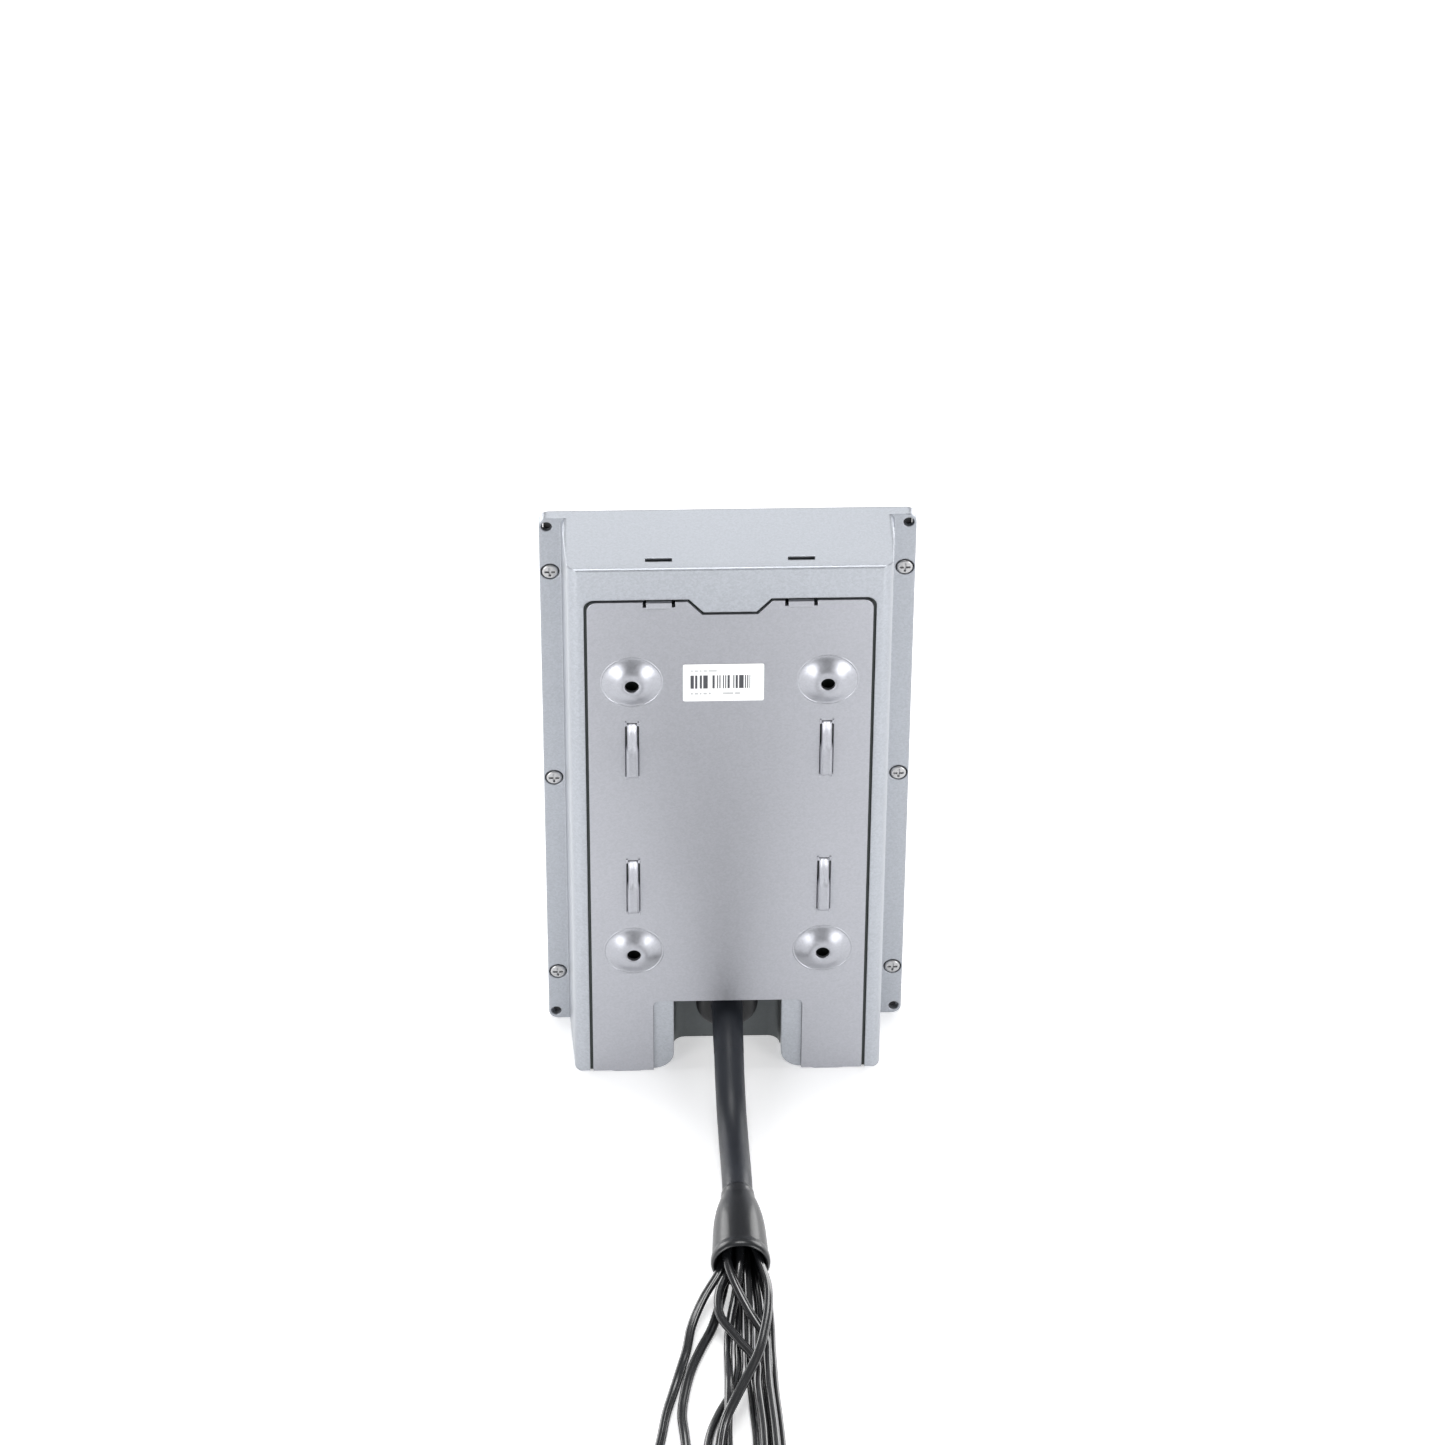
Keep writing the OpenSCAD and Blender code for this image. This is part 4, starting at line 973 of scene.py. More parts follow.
@dataclass
class MainLead:
    """Lead from the gland to the moulded boot in which it divides."""

    diameter: float = 0.0124
    stations: Tuple[Point, ...] = (
        (0, -4.5, 27), (0, 3, 27), (0, 10.1, 27), (0, 18, 26.4), (0, 26, 24.5), (-0.1, 34, 21.4),
            (-0.2, 42, 17),
        (-0.4, 50, 12.7), (-0.6, 58, 9.5), (-0.9, 66, 7.6), (-1.1, 74, 7), (-1.3, 82, 7.6), (-1.4, 91, 9.5),
        (-1.5, 100, 11.4), (-1.5, 108, 12))
    relief_length: float = 0.026
    boot_at: Point = (-0.0015, 0.108, 0.012)
    boot_length: float = 0.042
    boot_radius: float = 0.012

    def build(self) -> None:
        route = Route([tuple(v * MM for v in p) for p in self.stations], 0.002)
        lead = Form()
        steps = 28
        lead.sweep(route.points, circle(self.diameter / 2, steps), [0.0] * len(route.points))
        jacket = lead.build("multicore_lead", JACKET, SHELL_BODY, "lead_jacket")
        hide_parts("main_cable")
        relief = self.strain_relief(route)
        boot = self.boot()
        throat = self.throat()
        route.length

    def strain_relief(self, route: Route) -> bpy.types.Object:
        """Builds the tapered sleeve where the lead leaves the gland.

        Args:
            route: The lead's centre line.

        Returns:
            The sleeve.
        """
        start = next(i for i, p in enumerate(route.points) if p.y > 0.0085)
        points, run = [], 0.0
        for i in range(start, len(route.points)):
            points.append(route.points[i])
            run += (route.points[i] - route.points[i - 1]).length
            if run > self.relief_length:
                break
        form = Form()
        steps, rings, faces = 32, [], []
        count = len(points)
        for n in range(2 * count):
            i = n if n < count else 2 * count - 1 - n
            point, share = points[i], i / (count - 1)
            radius = 0.0069 - (0.0069 - 0.00628) * share ** 0.3 if n < count else 0.006
            ahead = (points[min(i + 1, len(points) - 1)] - points[max(i - 1, 0)]).normalized()
            side = Vector((0, 0, 1)).cross(ahead).normalized()
            rise = ahead.cross(side)
            rings += [point + side * radius * math.cos(math.tau * k / steps) + rise * radius * math.sin(math.tau * k / steps)
                      for k in range(steps)]
        for i in range(2 * count):
            j = (i + 1) % (2 * count)
            for k in range(steps):
                m = (k + 1) % steps
                faces.append((i * steps + k, i * steps + m, j * steps + m, j * steps + k))
        form.add(rings, faces)
        return form.build("strain_relief", JACKET, SHELL_BODY, "lead_jacket")

    def boot(self) -> bpy.types.Object:
        """Builds the bottle-shaped boot with its rolled lip.

        Returns:
            The boot.
        """
        r, end = self.boot_radius, self.boot_length
        profile = [(0.0062, -0.0006), (0.0067, 0.0004), (0.0069, 0.0018), (0.00695, 0.003),
            (0.0072, 0.0046), (0.0078, 0.0066),
                   (0.0085, 0.009), (0.0092, 0.0118), (0.0098, 0.015), (0.0103, 0.0185),
                       (0.01065, 0.0225), (0.0109, 0.027),
                   (0.01115, 0.032), (0.0113, 0.0358), (0.01135, 0.0372), (0.0118, 0.0378),
                       (r - 0.0001, 0.0388),
                   (r, 0.0398), (r - 0.0001, 0.0408), (r - 0.0005, end - 0.0003), (r - 0.001, end),
                       (r - 0.0016, end - 0.0004),
                   (r - 0.0019, end - 0.0014), (r - 0.0022, 0.036), (0.0092, 0.026), (0.0088, 0.0182)]
        form = Form()
        form.lathe(profile, self.boot_at, 64, ring=True)
        piece = form.build("divider_boot", BOOT, SHELL_BODY, "boot_plastic")
        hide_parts("breakout_boot")
        return piece

    def throat(self) -> bpy.types.Object:
        """Builds the dark filler inside the boot, which the tails come out of.

        Returns:
            The filler.
        """
        form = Form()
        form.lathe([(0.0, 0.0205), (0.003, 0.0205), (0.006, 0.0202), (0.0083, 0.0196), (0.00895, 0.0186),
                    (0.00895, 0.0174), (0.0, 0.0174)], self.boot_at, 40)
        return form.build("boot_filler", BOOT_INSIDE, SHELL_BODY, "boot_plastic")


@dataclass
class Tail:
    """One tail with its connector."""

    name: str
    across: Tuple[float, ...]
    up: Tuple[float, ...]
    plug: Point
    section: Section
    face: Face
    seed: int


@dataclass
class Tails:
    """Thin leads that fan out of the boot, each to its own connector."""

    diameter: float = 0.004
    core: float = 0.0023
    along: Tuple[float, ...] = (126, 138, 150, 162, 174, 186, 198, 210, 222, 234, 248, 262, 278, 294,
        310, 326, 342)
    sleeve: float = 6.0
    plug_low: float = 0.1

    def tails(self) -> List[Tail]:
        """Returns the tails with their routes across and up, in millimetres."""
        low = (2.1,) * 9 + (2.3, 2.6)
        return [
            Tail("power", (5, 5.2, 6.7, 13.6, 18.6, 21, 23.8, 26.8, 29.8, 31.8, 34.4, 36.4, 39.5, 46.8,
                55.6, 62.9, 66),
                 (12, 12, 10.8, 7, 3.6, 2.1) + low, (11, 11, 26), Section.TWIN, Face.TONGUE, 3),
            Tail("network", (2.8, 2.8, 4.2, 7, 10.4, 15.4, 19.6, 22.2, 23.6, 22.8, 22, 22, 25, 32.6,
                41.4, 48.9, 52),
                 (8, 8, 6.6, 4.2, 2.4, 2.1) + low, (16, 14, 32), Section.TWIN, Face.JACK, 5),
            Tail("serial", (-1.5, -1.5, -1.2, -0.6, 0, 0.4, 0.8, 3.5, 9, 13, 14.8, 15.5, 17.8, 23.4, 30,
                35.7, 38),
                 (8, 8, 6.4, 3.8, 2.4, 2.1) + low, (9, 7, 20), Section.ROUND, Face.PINS, 7),
            Tail("barrier", (-5.8, -6.4, -9, -11.8, -11.6, -9.8, -7, -2.2, 2.8, 7.5, 9.9, 10.8, 12.2,
                15.4, 19.4, 22.6, 24),
                 (16, 15.8, 15, 13.4, 12.4, 12, 11.6, 10.6, 10.4, 9, 5, 2.1, 2.1, 2.1, 2.1, 2.3, 2.6),
                     (12, 8, 20),
                 Section.TWIN, Face.PINS, 11),
            Tail("relay", (-1.5, -1.5, -1, 0.8, 3.4, 4.6, 4.8, 5, 5.4, 6, 6.1, 6.2, 6.6, 7.5, 8.7, 9.6, 10),
                 (16, 15.9, 13.9, 9, 5, 2.3, 4, 6.3, 6.2, 5, 2.8, 2.1, 2.1, 2.1, 2.1, 2.3, 2.6), (9, 7, 20),
                 Section.ROUND, Face.PINS, 13),
            Tail("loop", (-3.6, -3.6, -3.8, -4, -4, -3.8, -3.6, -4.2, -4.8, -5.4, -5.2, -4.6, -4.5,
                -4.4, -4.2, -4, -4),
                 (12, 12, 10.5, 7, 4, 2.3) + low, (9, 7, 20), Section.TWIN, Face.PINS, 17),
            Tail("sensor", (0.6, 0.9, 2.6, 7.4, 7.4, 1, -6.2, -6.3, -7, -7.7, -7.8, -7.4, -8.6, -11.1,
                -14.3, -16.9, -18),
                 (12, 12, 11.4, 9.6, 8.2, 7.4, 6.4, 6, 6, 6, 6, 5.4, 3.6, 2.2, 2.1, 2.3, 2.6), (9, 7, 20),
                 Section.ROUND, Face.PINS, 19),
            Tail("intercom", (-5.8, -5.8, -6.8, -8, -8.2, -8, -8, -8.4, -9.2, -9.9, -10.2, -10.2, -12.6,
                -17.9, -24.3, -29.7, -32),
                 (8, 8, 6.4, 3.8, 2.4, 2.1) + low, (10, 8, 22), Section.TWIN, Face.PINS, 23),
            Tail("usb", (2.8, 3, 4, 1, -4.2, -10, -10.4, -10.7, -11.4, -12.1, -12.5, -12.4, -15.9,
                -24.2, -34.2, -42.5, -46),
                 (16, 16, 15.7, 13.6, 10.2, 7.4, 6.2, 5.9, 5.9, 5.9, 5.9, 5.9, 4.8, 2.5, 2.1, 2.3, 2.6),
                     (12, 7, 26),
                 Section.ROUND, Face.TONGUE, 29),
            Tail("alarm", (-8, -8.1, -9.2, -11.6, -12.4, -12.4, -12.6, -12.9, -13.6, -14.2, -14.6,
                -14.6, -19.3, -30.6, -44,
                           -55.3, -60), (12, 12, 10, 6, 3, 2.1) + low, (9, 7, 20), Section.TWIN,
                               Face.PINS, 31),
        ]

    def build(self) -> None:
        for tail in self.tails():
            self.lay(tail)

    def lay(self, tail: Tail) -> None:
        """Builds one tail and its connector.

        Args:
            tail: The tail.
        """
        stations = [(x * MM, y * MM, z * MM) for x, y, z in zip(tail.across, self.along, tail.up)]
        route = Route(stations, 0.0024)
        twist = self.twists(len(route.points), tail)
        path = []
        for point, turn in zip(route.points, twist):
            path.append(point - Vector((0.0, 0.0, self.diameter / 2 - self.reach(tail, turn))))
        section = circle(self.diameter / 2 - 0.0002,
            16) if tail.section is Section.ROUND else twin(self.diameter, self.core)
        form = Form()
        form.sweep(path, section, twist)
        lead = form.build(f"{tail.name}_lead", TAIL_JACKET, SHELL_BODY, "tail_jacket")
        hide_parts(f"{tail.name}_tail")
        plug = self.connector(tail, path[-1])
        length = sum((b - a).length for a, b in zip(path, path[1:]))

    def reach(self, tail: Tail, turn: float) -> float:
        """Returns how far the section reaches below its middle at a turn."""
        if tail.section is Section.ROUND:
            return self.diameter / 2 - 0.0002
        return self.core / 2 + (self.diameter - self.core) / 2 * abs(math.sin(turn))

    def twists(self, count: int, tail: Tail) -> List[float]:
        """Makes a slow, repeatable twist that is flat at the connector.

        Args:
            count: Points of the line.
            tail: The tail.

        Returns:
            The turn at each point, in radians.
        """
        chance = random.Random(tail.seed)
        first, second = chance.uniform(0, math.tau), chance.uniform(0, math.tau)
        turns = []
        for i in range(count):
            share = i / (count - 1)
            fade = max(0.0, 1.0 - share * 1.25)
            turns.append(fade * (1.1 * math.sin(first + 7.0 * share) + 0.5 * math.sin(second + 15.0 * share)))
        return turns

    def connector(self, tail: Tail, end: Vector) -> List[bpy.types.Object]:
        """Builds a connector: sleeve, housing with grips and latch, and its contacts.

        Args:
            tail: The tail that it ends.
            end: Where the tail ends. Not used.

        Returns:
            The housing and its contacts.
        """
        wide, tall, long = (v * MM for v in tail.plug)
        x, z0 = tail.across[-1] * MM, self.plug_low * MM
        y0 = self.along[-1] * MM
        y1, y2 = y0 + self.sleeve * MM, y0 + long
        form = Form()
        radius = self.diameter / 2 + 0.0006
        form.lathe([(0.0012, -0.0006), (radius - 0.0004, -0.0002), (radius, 0.0006), (radius, 0.0018),
            (radius - 0.0004, 0.0021),
                    (radius - 0.0004, 0.0029), (radius, 0.0032), (radius, 0.0042), (radius + 0.0003, 0.0062)],
                   (x, y0, radius + z0), 28, ring=True)
        wall = 0.0011
        left, right = x - wide / 2, x + wide / 2
        form.block((left, y1, z0), (right, y2 - 0.006, z0 + tall), 0.0009)
        form.block((left, y2 - 0.0062, z0), (right, y2, z0 + wall), 0.0004)
        form.block((left, y2 - 0.0062, z0 + tall - wall), (right, y2, z0 + tall), 0.0004)
        form.block((left, y2 - 0.0062, z0 + wall * 0.6), (left + wall, y2, z0 + tall - wall * 0.6), 0.0004)
        form.block((right - wall, y2 - 0.0062, z0 + wall * 0.6), (right, y2, z0 + tall - wall * 0.6), 0.0004)
        for k in range(4):
            low = y1 + 0.002 + k * 0.0018
            form.block((left + 0.0012, low, z0 + tall - 0.0003),
                (right - 0.0012, low + 0.0009, z0 + tall + 0.00035), 0.0002)
        latch = min(0.0036, wide * 0.36)
        form.block((x - latch / 2, y2 - 0.0085, z0 + tall - 0.0004),
            (x + latch / 2, y2 - 0.001, z0 + tall + 0.0007), 0.0003)
        housing = form.build(f"{tail.name}_connector", PLUG_PLASTIC, SHELL_BODY, "plug_plastic", 0.00015)
        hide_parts(f"{tail.name}_plug")
        contacts = self.contacts(tail, x, y2, z0 + tall / 2, wide - 2 * wall, tall - 2 * wall)
        return [housing, contacts]

    def contacts(self, tail: Tail, x: float, end: float, mid: float, wide: float,
        tall: float) -> bpy.types.Object:
        """Builds the metal contacts inside a connector's mouth.

        Args:
            tail: The tail.
            x: Middle across.
            end: Where the mouth ends.
            mid: Middle height.
            wide: Width inside.
            tall: Height inside.

        Returns:
            The contacts.
        """
        form = Form()
        low = end - 0.0059
        if tail.face is Face.PINS:
            count = max(2, int(wide / 0.0024))
            for k in range(count):
                px = x + (k - (count - 1) / 2) * 0.0024
                form.block((px - 0.00045, low, mid - 0.00045),
                    (px + 0.00045, end - 0.0012, mid + 0.00045), 0.00015)
        elif tail.face is Face.JACK:
            for k in range(8):
                px = x + (k - 3.5) * 0.00105
                form.block((px - 0.0003, low, mid + tall * 0.12),
                    (px + 0.0003, end - 0.001, mid + tall * 0.12 + 0.0004), 0.0001)
        else:
            form.block((x - wide * 0.36, low, mid - 0.0006),
                (x + wide * 0.36, end - 0.001, mid + 0.0006), 0.0003)
        return form.build(f"{tail.name}_contacts", CONTACT_METAL, SHELL_BODY, "screw_steel")


# --- Sub-assemblies ---------------------------------------------------------------------------


class NodeDresser:
    """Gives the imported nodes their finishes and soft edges."""

    smooth: Tuple[str, ...] = ("rear_housing",)

    bevels: Dict[str, float] = {
        "housing_screws": 0.00012, "gland_body": 0.0003,
        "gland_nut": 0.00025, "button_ring": 0.0002, "call_button": 0.0002, "cover_glass": 0.0004,
            "front_frame": 0.0002,
    }

    def dress(self, node: str, finish: Finish) -> None:
        """Dresses one node.

        Args:
            node: The node's name.
            finish: Its finish.
        """
        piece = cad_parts[node]
        piece.data.materials.clear()
        piece.data.materials.append(finish.build())
        for face in piece.data.polygons:
            face.material_index = 0
        width = self.bevels.get(node, 0.0)
        if width > 0:
            self.soften(piece, width)
        elif node in self.smooth:
            self.crease(piece)
        log.info("%s: %s", node, finish.name)

    def crease(self, piece: bpy.types.Object) -> None:
        """Shades a node's curves smooth and keeps its edges sharp.

        Args:
            piece: The node's object.
        """
        piece.data.shade_smooth()
        weld = piece.modifiers.new("weld", "WELD")
        weld.merge_threshold = 0.000002
        split = piece.modifiers.new("creases", "EDGE_SPLIT")
        split.split_angle = math.radians(28)

    def soften(self, piece: bpy.types.Object, width: float) -> None:
        """Rounds a node's edges with modifiers.

        Args:
            piece: The node's object.
            width: Width of the rounds.
        """
        piece.data.shade_smooth()
        weld = piece.modifiers.new("weld", "WELD")
        weld.merge_threshold = 0.000002
        edge = piece.modifiers.new("edges", "BEVEL")
        edge.width = width
        edge.segments = 2
        edge.limit_method = "ANGLE"
        edge.angle_limit = math.radians(32)
        edge.use_clamp_overlap = False
        edge.loop_slide = False
        normals = piece.modifiers.new("normals", "WEIGHTED_NORMAL")
        normals.keep_sharp = True
        normals.weight = 90


@dataclass
class ScrewSeats:
    """Dark rings under the heads of the shell's screws: painted shade in their sunk seats."""

    half_span: float = 0.0708
    heights: Tuple[float, ...] = (0.026, 0.131, 0.236)
    seat: float = -0.0171
    inner: float = 0.0018
    outer: float = 0.0037

    def build(self) -> None:
        """Builds the dark rings of painted shade."""
        form = Form()
        for side in (-1, 1):
            for height in self.heights:
                form.lathe([(self.inner, 0.00002), (self.inner, 0.00022), (self.outer - 0.0002, 0.00026),
                            (self.outer, 0.0001), (self.outer, 0.00002)],
                                (side * self.half_span, self.seat, height), 32,
                           ring=True)
        # Painted shade: black rings on the screws' sunk seats, in the seal rubber finish.
        form.build("screw_seat_shade_rings", SEAL_RUBBER, SHELL_BODY, "gasket_rubber")


@dataclass
class PressedPlate:
    """Wall plate: a pressed sheet with rolled tabs, domed holes and stiffening ribs."""

    half: float = 0.0565
    top: float = 0.246
    corner: float = 0.004
    back: float = 0.019
    thick: float = 0.0015
    edge: float = 0.00022
    dip: Tuple[Pair, Pair] = ((0.0168, 0.246), (0.011, 0.2396))
    tab_mid: float = 0.028
    tab_half: float = 0.005
    relief: Pair = (0.0014, 0.0026)
    notch: Pair = (0.031, 0.0385)
    notch_round: float = 0.0026
    holes: Pair = (0.039, 0.07)
    holes_mid: float = 0.1365
    dome_foot: float = 0.012
    dome_rise: float = 0.0032
    hole: float = 0.00275
    rib_from_mid: float = 0.0355
    rib_size: Pair = (0.005, 0.0275)
    rib_rise: float = 0.003
    hook_reach: float = 0.0056
    hook_top: float = 0.2507
    lip: Tuple[float, float, float] = (0.042, 0.007, 0.012)

    def build(self) -> None:
        """Builds the plate from its sheet, domes, ribs, hooks and lips."""
        form = Form()
        self.sheet(form)
        for side in (-1, 1):
            self.hook(form, side)
            self.foot_lip(form, side)
            for level in (-1, 1):
                self.dome(form, side * self.holes[0], self.holes_mid + level * self.holes[1])
                self.rib(form, side * self.holes[0], self.holes_mid + level * self.rib_from_mid)
        plate = form.build("pressed_plate", PLATE_PAINT, PLATE_BODY, "plate_steel")
        normals = plate.modifiers.new("normals", "WEIGHTED_NORMAL")
        normals.keep_sharp = True
        normals.weight = 100
        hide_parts("wall_plate")

    def outline(self) -> List[Pair]:
        """Returns the sheet's outline, anticlockwise from its lower right corner."""
        points: List[Pair] = [(self.half, 0.0004)]
        points += self.corner_arc(self.half - self.corner, self.top - self.corner, self.corner, 0)
        points += self.reliefs(1)
        points += [self.dip[0], self.dip[1], (-self.dip[1][0], self.dip[1][1]),
            (-self.dip[0][0], self.dip[0][1])]
        points += self.reliefs(-1)
        points += self.corner_arc(self.corner - self.half, self.top - self.corner, self.corner, 90)
        points += [(-self.half, 0.0004), (-self.notch[0], 0.0004)]
        r = self.notch_round
        points += self.corner_arc(r - self.notch[0], self.notch[1] - r, r, 180, -90)
        points += self.corner_arc(self.notch[0] - r, self.notch[1] - r, r, 90, -90)
        points += [(self.notch[0], 0.0004)]
        return points

    def reliefs(self, side: int) -> List[Pair]:
        """Returns the outline past one tab, from +X to -X.

        Args:
            side: The tab's side of the centre.

        Returns:
            The points.
        """
        wide, deep = self.relief
        points: List[Pair] = []
        for edge in (1, -1):
            near = side * self.tab_mid + edge * self.tab_half
            far = near + edge * wide
            first, second = (far, near) if edge > 0 else (near, far)
            top_first = self.top - (0.0004 if edge < 0 else 0.0)
            top_second = self.top - (0.0004 if edge > 0 else 0.0)
            points += [(first, top_first), (first, self.top - deep), (second, self.top - deep),
                (second, top_second)]
        return points

    @staticmethod
    def corner_arc(x: float, z: float, radius: float, start: float, sweep: float = 90.0) -> List[Pair]:
        """Returns the points of a corner's arc."""
        angles = [math.radians(start + sweep * k / 8) for k in range(9)]
        return [(x + radius * math.cos(a), z + radius * math.sin(a)) for a in angles]

    def sheet(self, form: Form) -> None:
        """Adds the sheet, with soft edges and with openings for the domes and ribs.

        Args:
            form: The plate in the making.
        """
        curve = bpy.data.curves.new("sheet_outline", "CURVE")
        curve.dimensions = "2D"
        curve.fill_mode = "BOTH"
        curve.bevel_depth = self.edge
        curve.bevel_resolution = 2
        curve.offset = -self.edge
        curve.extrude = self.thick / 2 - self.edge
        loops = [self.outline()]
        for side in (-1, 1):
            for level in (-1, 1):
                x, z = side * self.holes[0], self.holes_mid + level * self.holes[1]
                loops.append([(x + a, z + b) for a, b in circle(self.dome_foot - 0.0001, 64)])
                z = self.holes_mid + level * self.rib_from_mid
                w, h = self.rib_size[0] / 2 + 0.0002, self.rib_size[1] / 2 + 0.0002
                loops.append([(side * self.holes[0] + a * w, z + b * h) for a,
                    b in ((1, -1), (1, 1), (-1, 1), (-1, -1))])
        for loop in loops:
            spline = curve.splines.new("POLY")
            spline.points.add(len(loop) - 1)
            for point, (x, z) in zip(spline.points, loop):
                point.co = (x, z, 0.0, 1.0)
            spline.use_cyclic_u = True
        holder = bpy.data.objects.new("sheet_outline", curve)
        bpy.context.scene.collection.objects.link(holder)
        bpy.context.view_layer.update()
        flat = bpy.data.meshes.new_from_object(holder.evaluated_get(bpy.context.evaluated_depsgraph_get()))
        middle = self.back - self.thick / 2
        points = [Vector((v.co.x, middle - v.co.z, v.co.y)) for v in flat.vertices]
        form.add(points, [tuple(f.vertices) for f in flat.polygons])
        bpy.data.objects.remove(holder)
        bpy.data.curves.remove(curve)
        bpy.data.meshes.remove(flat)

    def dome(self, form: Form, x: float, z: float) -> None:
        """Adds one pressed dome with its hole.

        Args:
            form: The plate in the making.
            x: The hole's place across.
            z: The hole's height.
        """
        crest = self.hole + 0.0013
        profile = [(self.dome_foot + 0.0004, -0.0006), (self.dome_foot + 0.0004, 0.00004),
            (self.dome_foot + 0.0001, 0.00016),
                   (self.dome_foot - 0.0001, 0.00008)]
        for k in range(25):
            share = k / 24
            rise = math.sin(share * math.pi / 2) ** 1.25 if share > 0 else 0.0
            rise = 0.35 * share * share * (3 - 2 * share) + 0.65 * rise
            profile.append((self.dome_foot - 0.0002 - (self.dome_foot - 0.0002 - crest) * share,
                self.dome_rise * rise))
        profile += [(self.hole + 0.0006, self.dome_rise), (self.hole + 0.0001, self.dome_rise - 0.0002),
                    (self.hole, self.dome_rise - 0.0006), (self.hole, self.dome_rise - self.thick)]
        profile += [(radius, rise - self.thick) for radius, rise in reversed(profile[4:29])]
        profile += [(self.dome_foot + 0.0004, -self.thick + 0.00005)]
        form.lathe(profile, (x, self.back, z), 64, ring=True)

    def rib(self, form: Form, x: float, z: float) -> None:
        """Adds one rib: a channelled ramp above, a flat body, and a rounded lower end.

        Args:
            form: The plate in the making.
            x: The rib's middle across.
            z: The rib's middle height.
        """
        wide, long = self.rib_size
        stations = [(0.5, -0.25, 0.0), (0.498, 0.0, 0.0), (0.488, 0.12, 0.5), (0.47, 0.22, 1.0),
            (0.42, 0.44, 1.0), (0.37, 0.62, 1.0),
                    (0.3, 0.75, 1.0), (0.2, 0.88, 1.0), (0.11, 0.97, 0.9), (0.06, 1.0, 0.3),
                        (0.0, 1.0, 0.0), (-0.2, 1.0, 0.0),
                    (-0.36, 1.0, 0.0), (-0.41, 0.93, 0.0), (-0.45, 0.74, 0.0), (-0.475, 0.45, 0.0),
                        (-0.49, 0.15, 0.0),
                    (-0.5, -0.25, 0.0)]
        shape = [(-0.5, -0.3), (-0.5, 0.0), (-0.49, 0.45), (-0.46, 0.78), (-0.41, 0.94), (-0.34, 1.0),
            (-0.2, 0.985), (0.0, 0.98),
                 (0.2, 0.985), (0.34, 1.0), (0.41, 0.94), (0.46, 0.78), (0.49, 0.45), (0.5, 0.0), (0.5, -0.3)]
        points, faces = [], []
        for along, rise, channel in stations:
            narrow = 1.0 - 0.16 * channel
            for across, up in shape:
                low = channel * 0.0008 * max(0.0, 1.0 - abs(across) / 0.36)
                tall = self.rib_rise * max(rise, 0.0) * max(up, 0.0)
                sunk = -0.0006 if up < 0 or rise < 0 else 0.0
                points.append(Vector((x + across * wide * narrow, self.back + tall + sunk - low,
                    z + along * long)))
        count = len(shape)
        for i in range(len(stations) - 1):
            for k in range(count):
                a, b = i * count + k, i * count + (k + 1) % count
                faces.append((a, b, b + count, a + count))
        faces += [tuple(range(count - 1, -1, -1)),
            tuple((len(stations) - 1) * count + k for k in range(count))]
        form.add(points, faces)
        for side in (-1, 1):
            for end in (-1, 1):
                cx, cz = x + side * wide * 0.5, z + end * long * 0.5
                form.block((cx - 0.00045, self.back - 0.0004, cz - 0.001),
                    (cx + 0.00045, self.back + 0.0006, cz + 0.001),
                           0.0003)

    def hook(self, form: Form, side: int) -> None:
        """Adds one tab, which rolls forward and up into its hook.

        Args:
            form: The plate in the making.
            side: Its side of the centre.
        """
        low, high = side * self.tab_mid - self.tab_half, side * self.tab_mid + self.tab_half
        front = self.back - self.thick
        outer = [(self.back - 0.0001, self.top - 0.0035), (self.back + 0.00026, self.top - 0.0031),
                 (self.back + 0.0003, self.top - 0.0024), (self.back + 0.00008, self.top - 0.0015)]
        outer += [(self.back - 0.0013 + 0.0013 * math.cos(a), self.top - 0.0013 + 0.0013 * math.sin(a))
                  for a in (math.radians(10 * k) for k in range(10))]
        reach = front - self.hook_reach
        outer += [(reach + 0.0017, self.top), (reach + 0.0015, self.top + 0.0002),
            (reach + 0.0015, self.hook_top - 0.0004),
                  (reach + 0.0011, self.hook_top), (reach + 0.0004, self.hook_top),
                      (reach, self.hook_top - 0.0004),
                  (reach, self.top - 0.001), (reach + 0.0005, self.top - self.thick)]
        outer += [(front - 0.0005, self.top - self.thick), (front, self.top - self.thick - 0.0004),
            (front, self.top - 0.0026)]
        count = len(outer)
        points = [Vector((low, y, z)) for y, z in outer] + [Vector((high, y, z)) for y, z in outer]
        faces: List[Tuple[int, ...]] = [tuple(range(count)), tuple(range(2 * count - 1, count - 1, -1))]
        faces += [(k, count + k, count + (k + 1) % count, (k + 1) % count) for k in range(count)]
        form.add(points, faces)

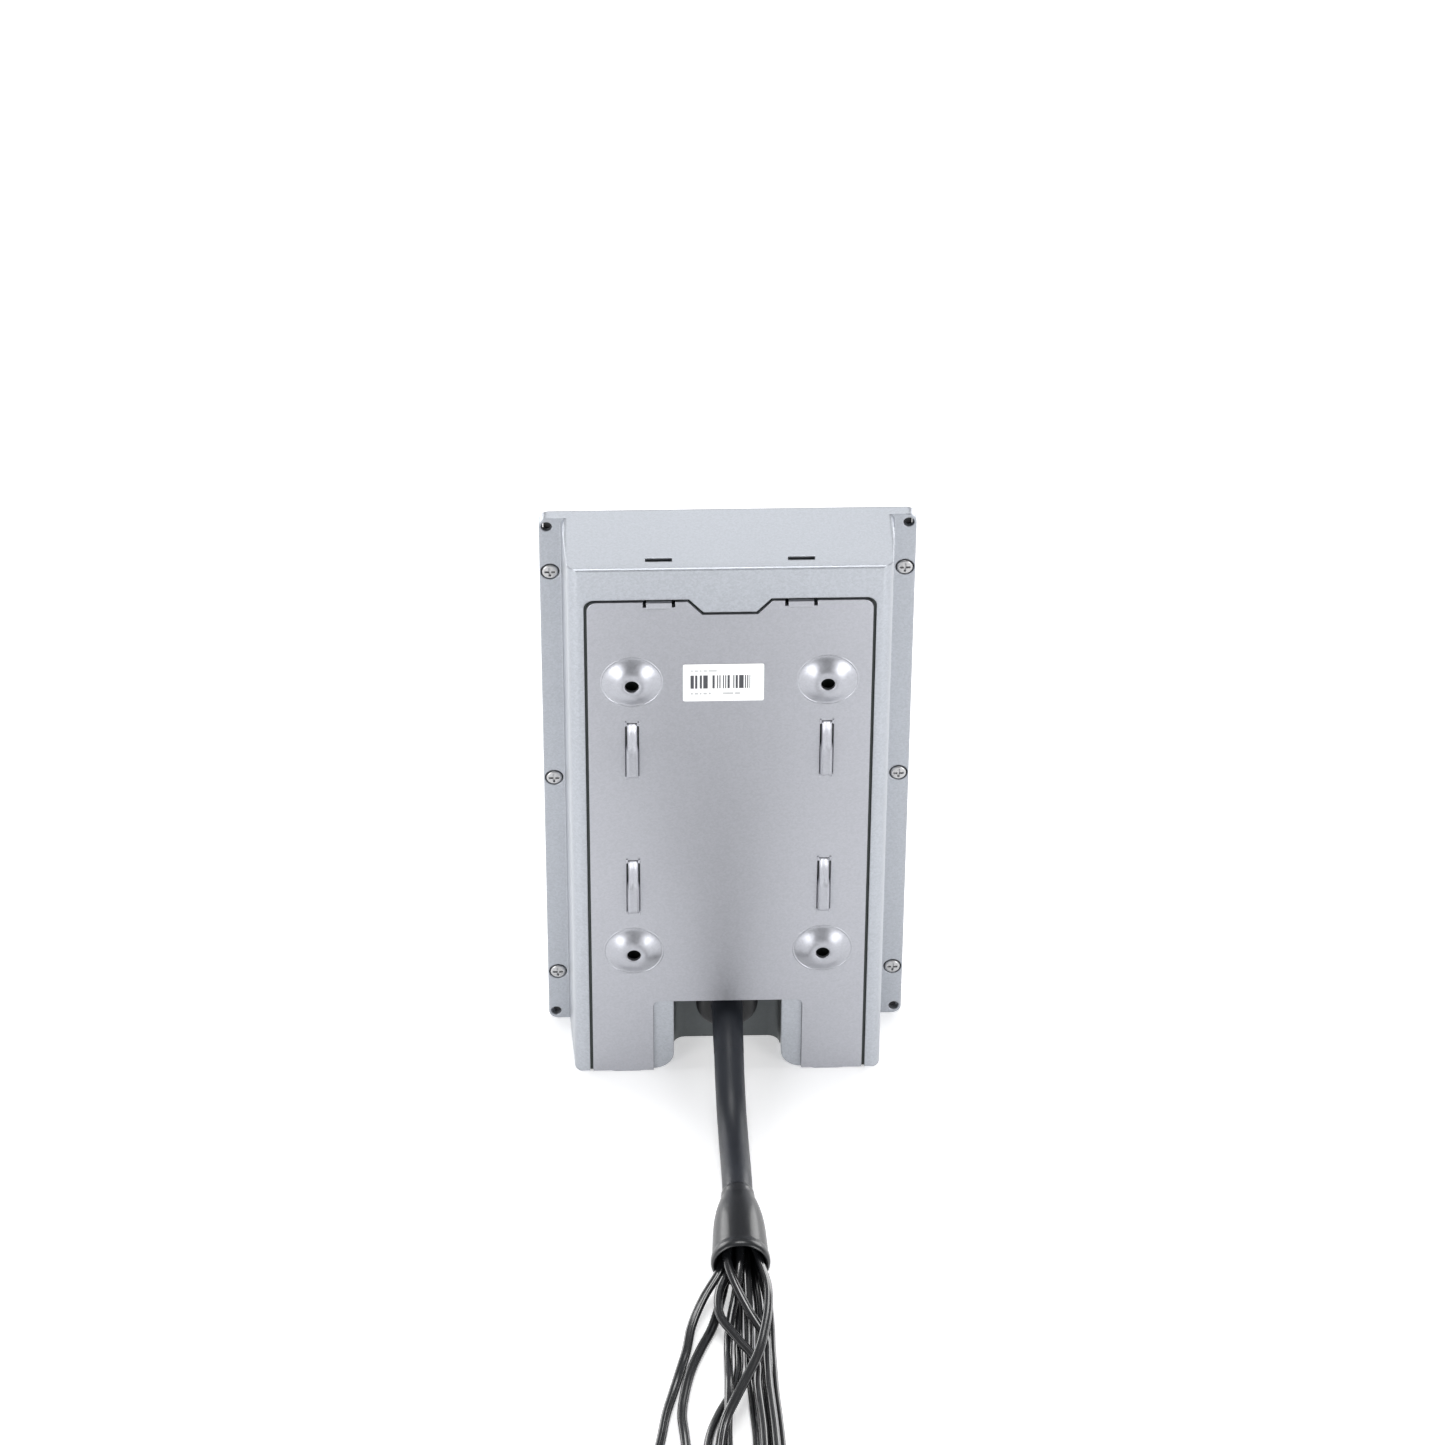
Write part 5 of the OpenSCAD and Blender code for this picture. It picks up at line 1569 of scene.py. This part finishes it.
    def foot_lip(self, form: Form, side: int) -> None:
        """Adds one lip at the foot, with its screw's sunk hole.

        Args:
            form: The plate in the making.
            side: Its side of the centre.
        """
        mid, half, _ = self.lip
        screw = self.back - 0.0076
        steps = 32
        points, faces = [], []
        for radius, z in ((None, 0.0), (0.00295, 0.0), (0.00165, 0.0012), (0.0017, 0.0015), (None, 0.0015)):
            for k in range(steps):
                angle = math.tau * k / steps
                dx, dy = math.cos(angle), math.sin(angle)
                if radius is None:
                    reach = min(abs(half / dx) if dx else 9.0,
                        abs((0.0074 if dy > 0 else 0.0044) / dy) if dy else 9.0)
                    points.append(Vector((side * mid + dx * reach, screw + dy * reach, z)))
                else:
                    points.append(Vector((side * mid + dx * radius, screw + dy * radius, z)))
        for i in range(5):
            for k in range(steps):
                m = (k + 1) % steps
                j = (i + 1) % 5
                faces.append((i * steps + k, i * steps + m, j * steps + m, j * steps + k))
        form.add(points, faces)


@dataclass
class BackLabel:
    """Paper label on the plate."""

    low: Pair = (-0.0136, 0.1968)
    high: Pair = (0.0186, 0.2152)
    back: float = 0.01902
    thick: float = 0.00016
    corner: float = 0.0008

    def build(self) -> None:
        """Builds the label with round corners."""
        outline = []
        for cx, cz, start in ((self.high[0], self.high[1], 0), (self.low[0], self.high[1], 1),
                              (self.low[0], self.low[1], 2), (self.high[0], self.low[1], 3)):
            inx = -self.corner if cx > 0 else self.corner
            inz = -self.corner if start < 2 else self.corner
            for k in range(5):
                angle = math.pi / 2 * (start + k / 4)
                outline.append((cx + inx + self.corner * math.cos(angle),
                    cz + inz + self.corner * math.sin(angle)))
        count = len(outline)
        rings = [Vector((x, self.back, z)) for x,
            z in outline] + [Vector((x, self.back + self.thick, z)) for x, z in outline]
        faces: List[Tuple[int, ...]] = [tuple(range(count)), tuple(range(2 * count - 1, count - 1, -1))]
        faces += [(k, (k + 1) % count, count + (k + 1) % count, count + k) for k in range(count)]
        form = Form()
        form.add(rings, faces)
        label = form.build("back_label", PAPER, SHELL_BODY, "label_paper")
        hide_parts("id_label")


def main() -> None:
    """Builds the studio, the leads, the finishes and the finer pieces, in that order."""
    logging.basicConfig(level=logging.INFO, format="%(name)s %(message)s")
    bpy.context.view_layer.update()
    Studio().build()
    MainLead().build()
    Tails().build()
    dresser = NodeDresser()
    for node, finish in NODE_FINISHES.items():
        dresser.dress(node, finish)
    PressedPlate().build()
    ScrewSeats().build()
    BackLabel().build()


if __name__ == "__main__":
    main()
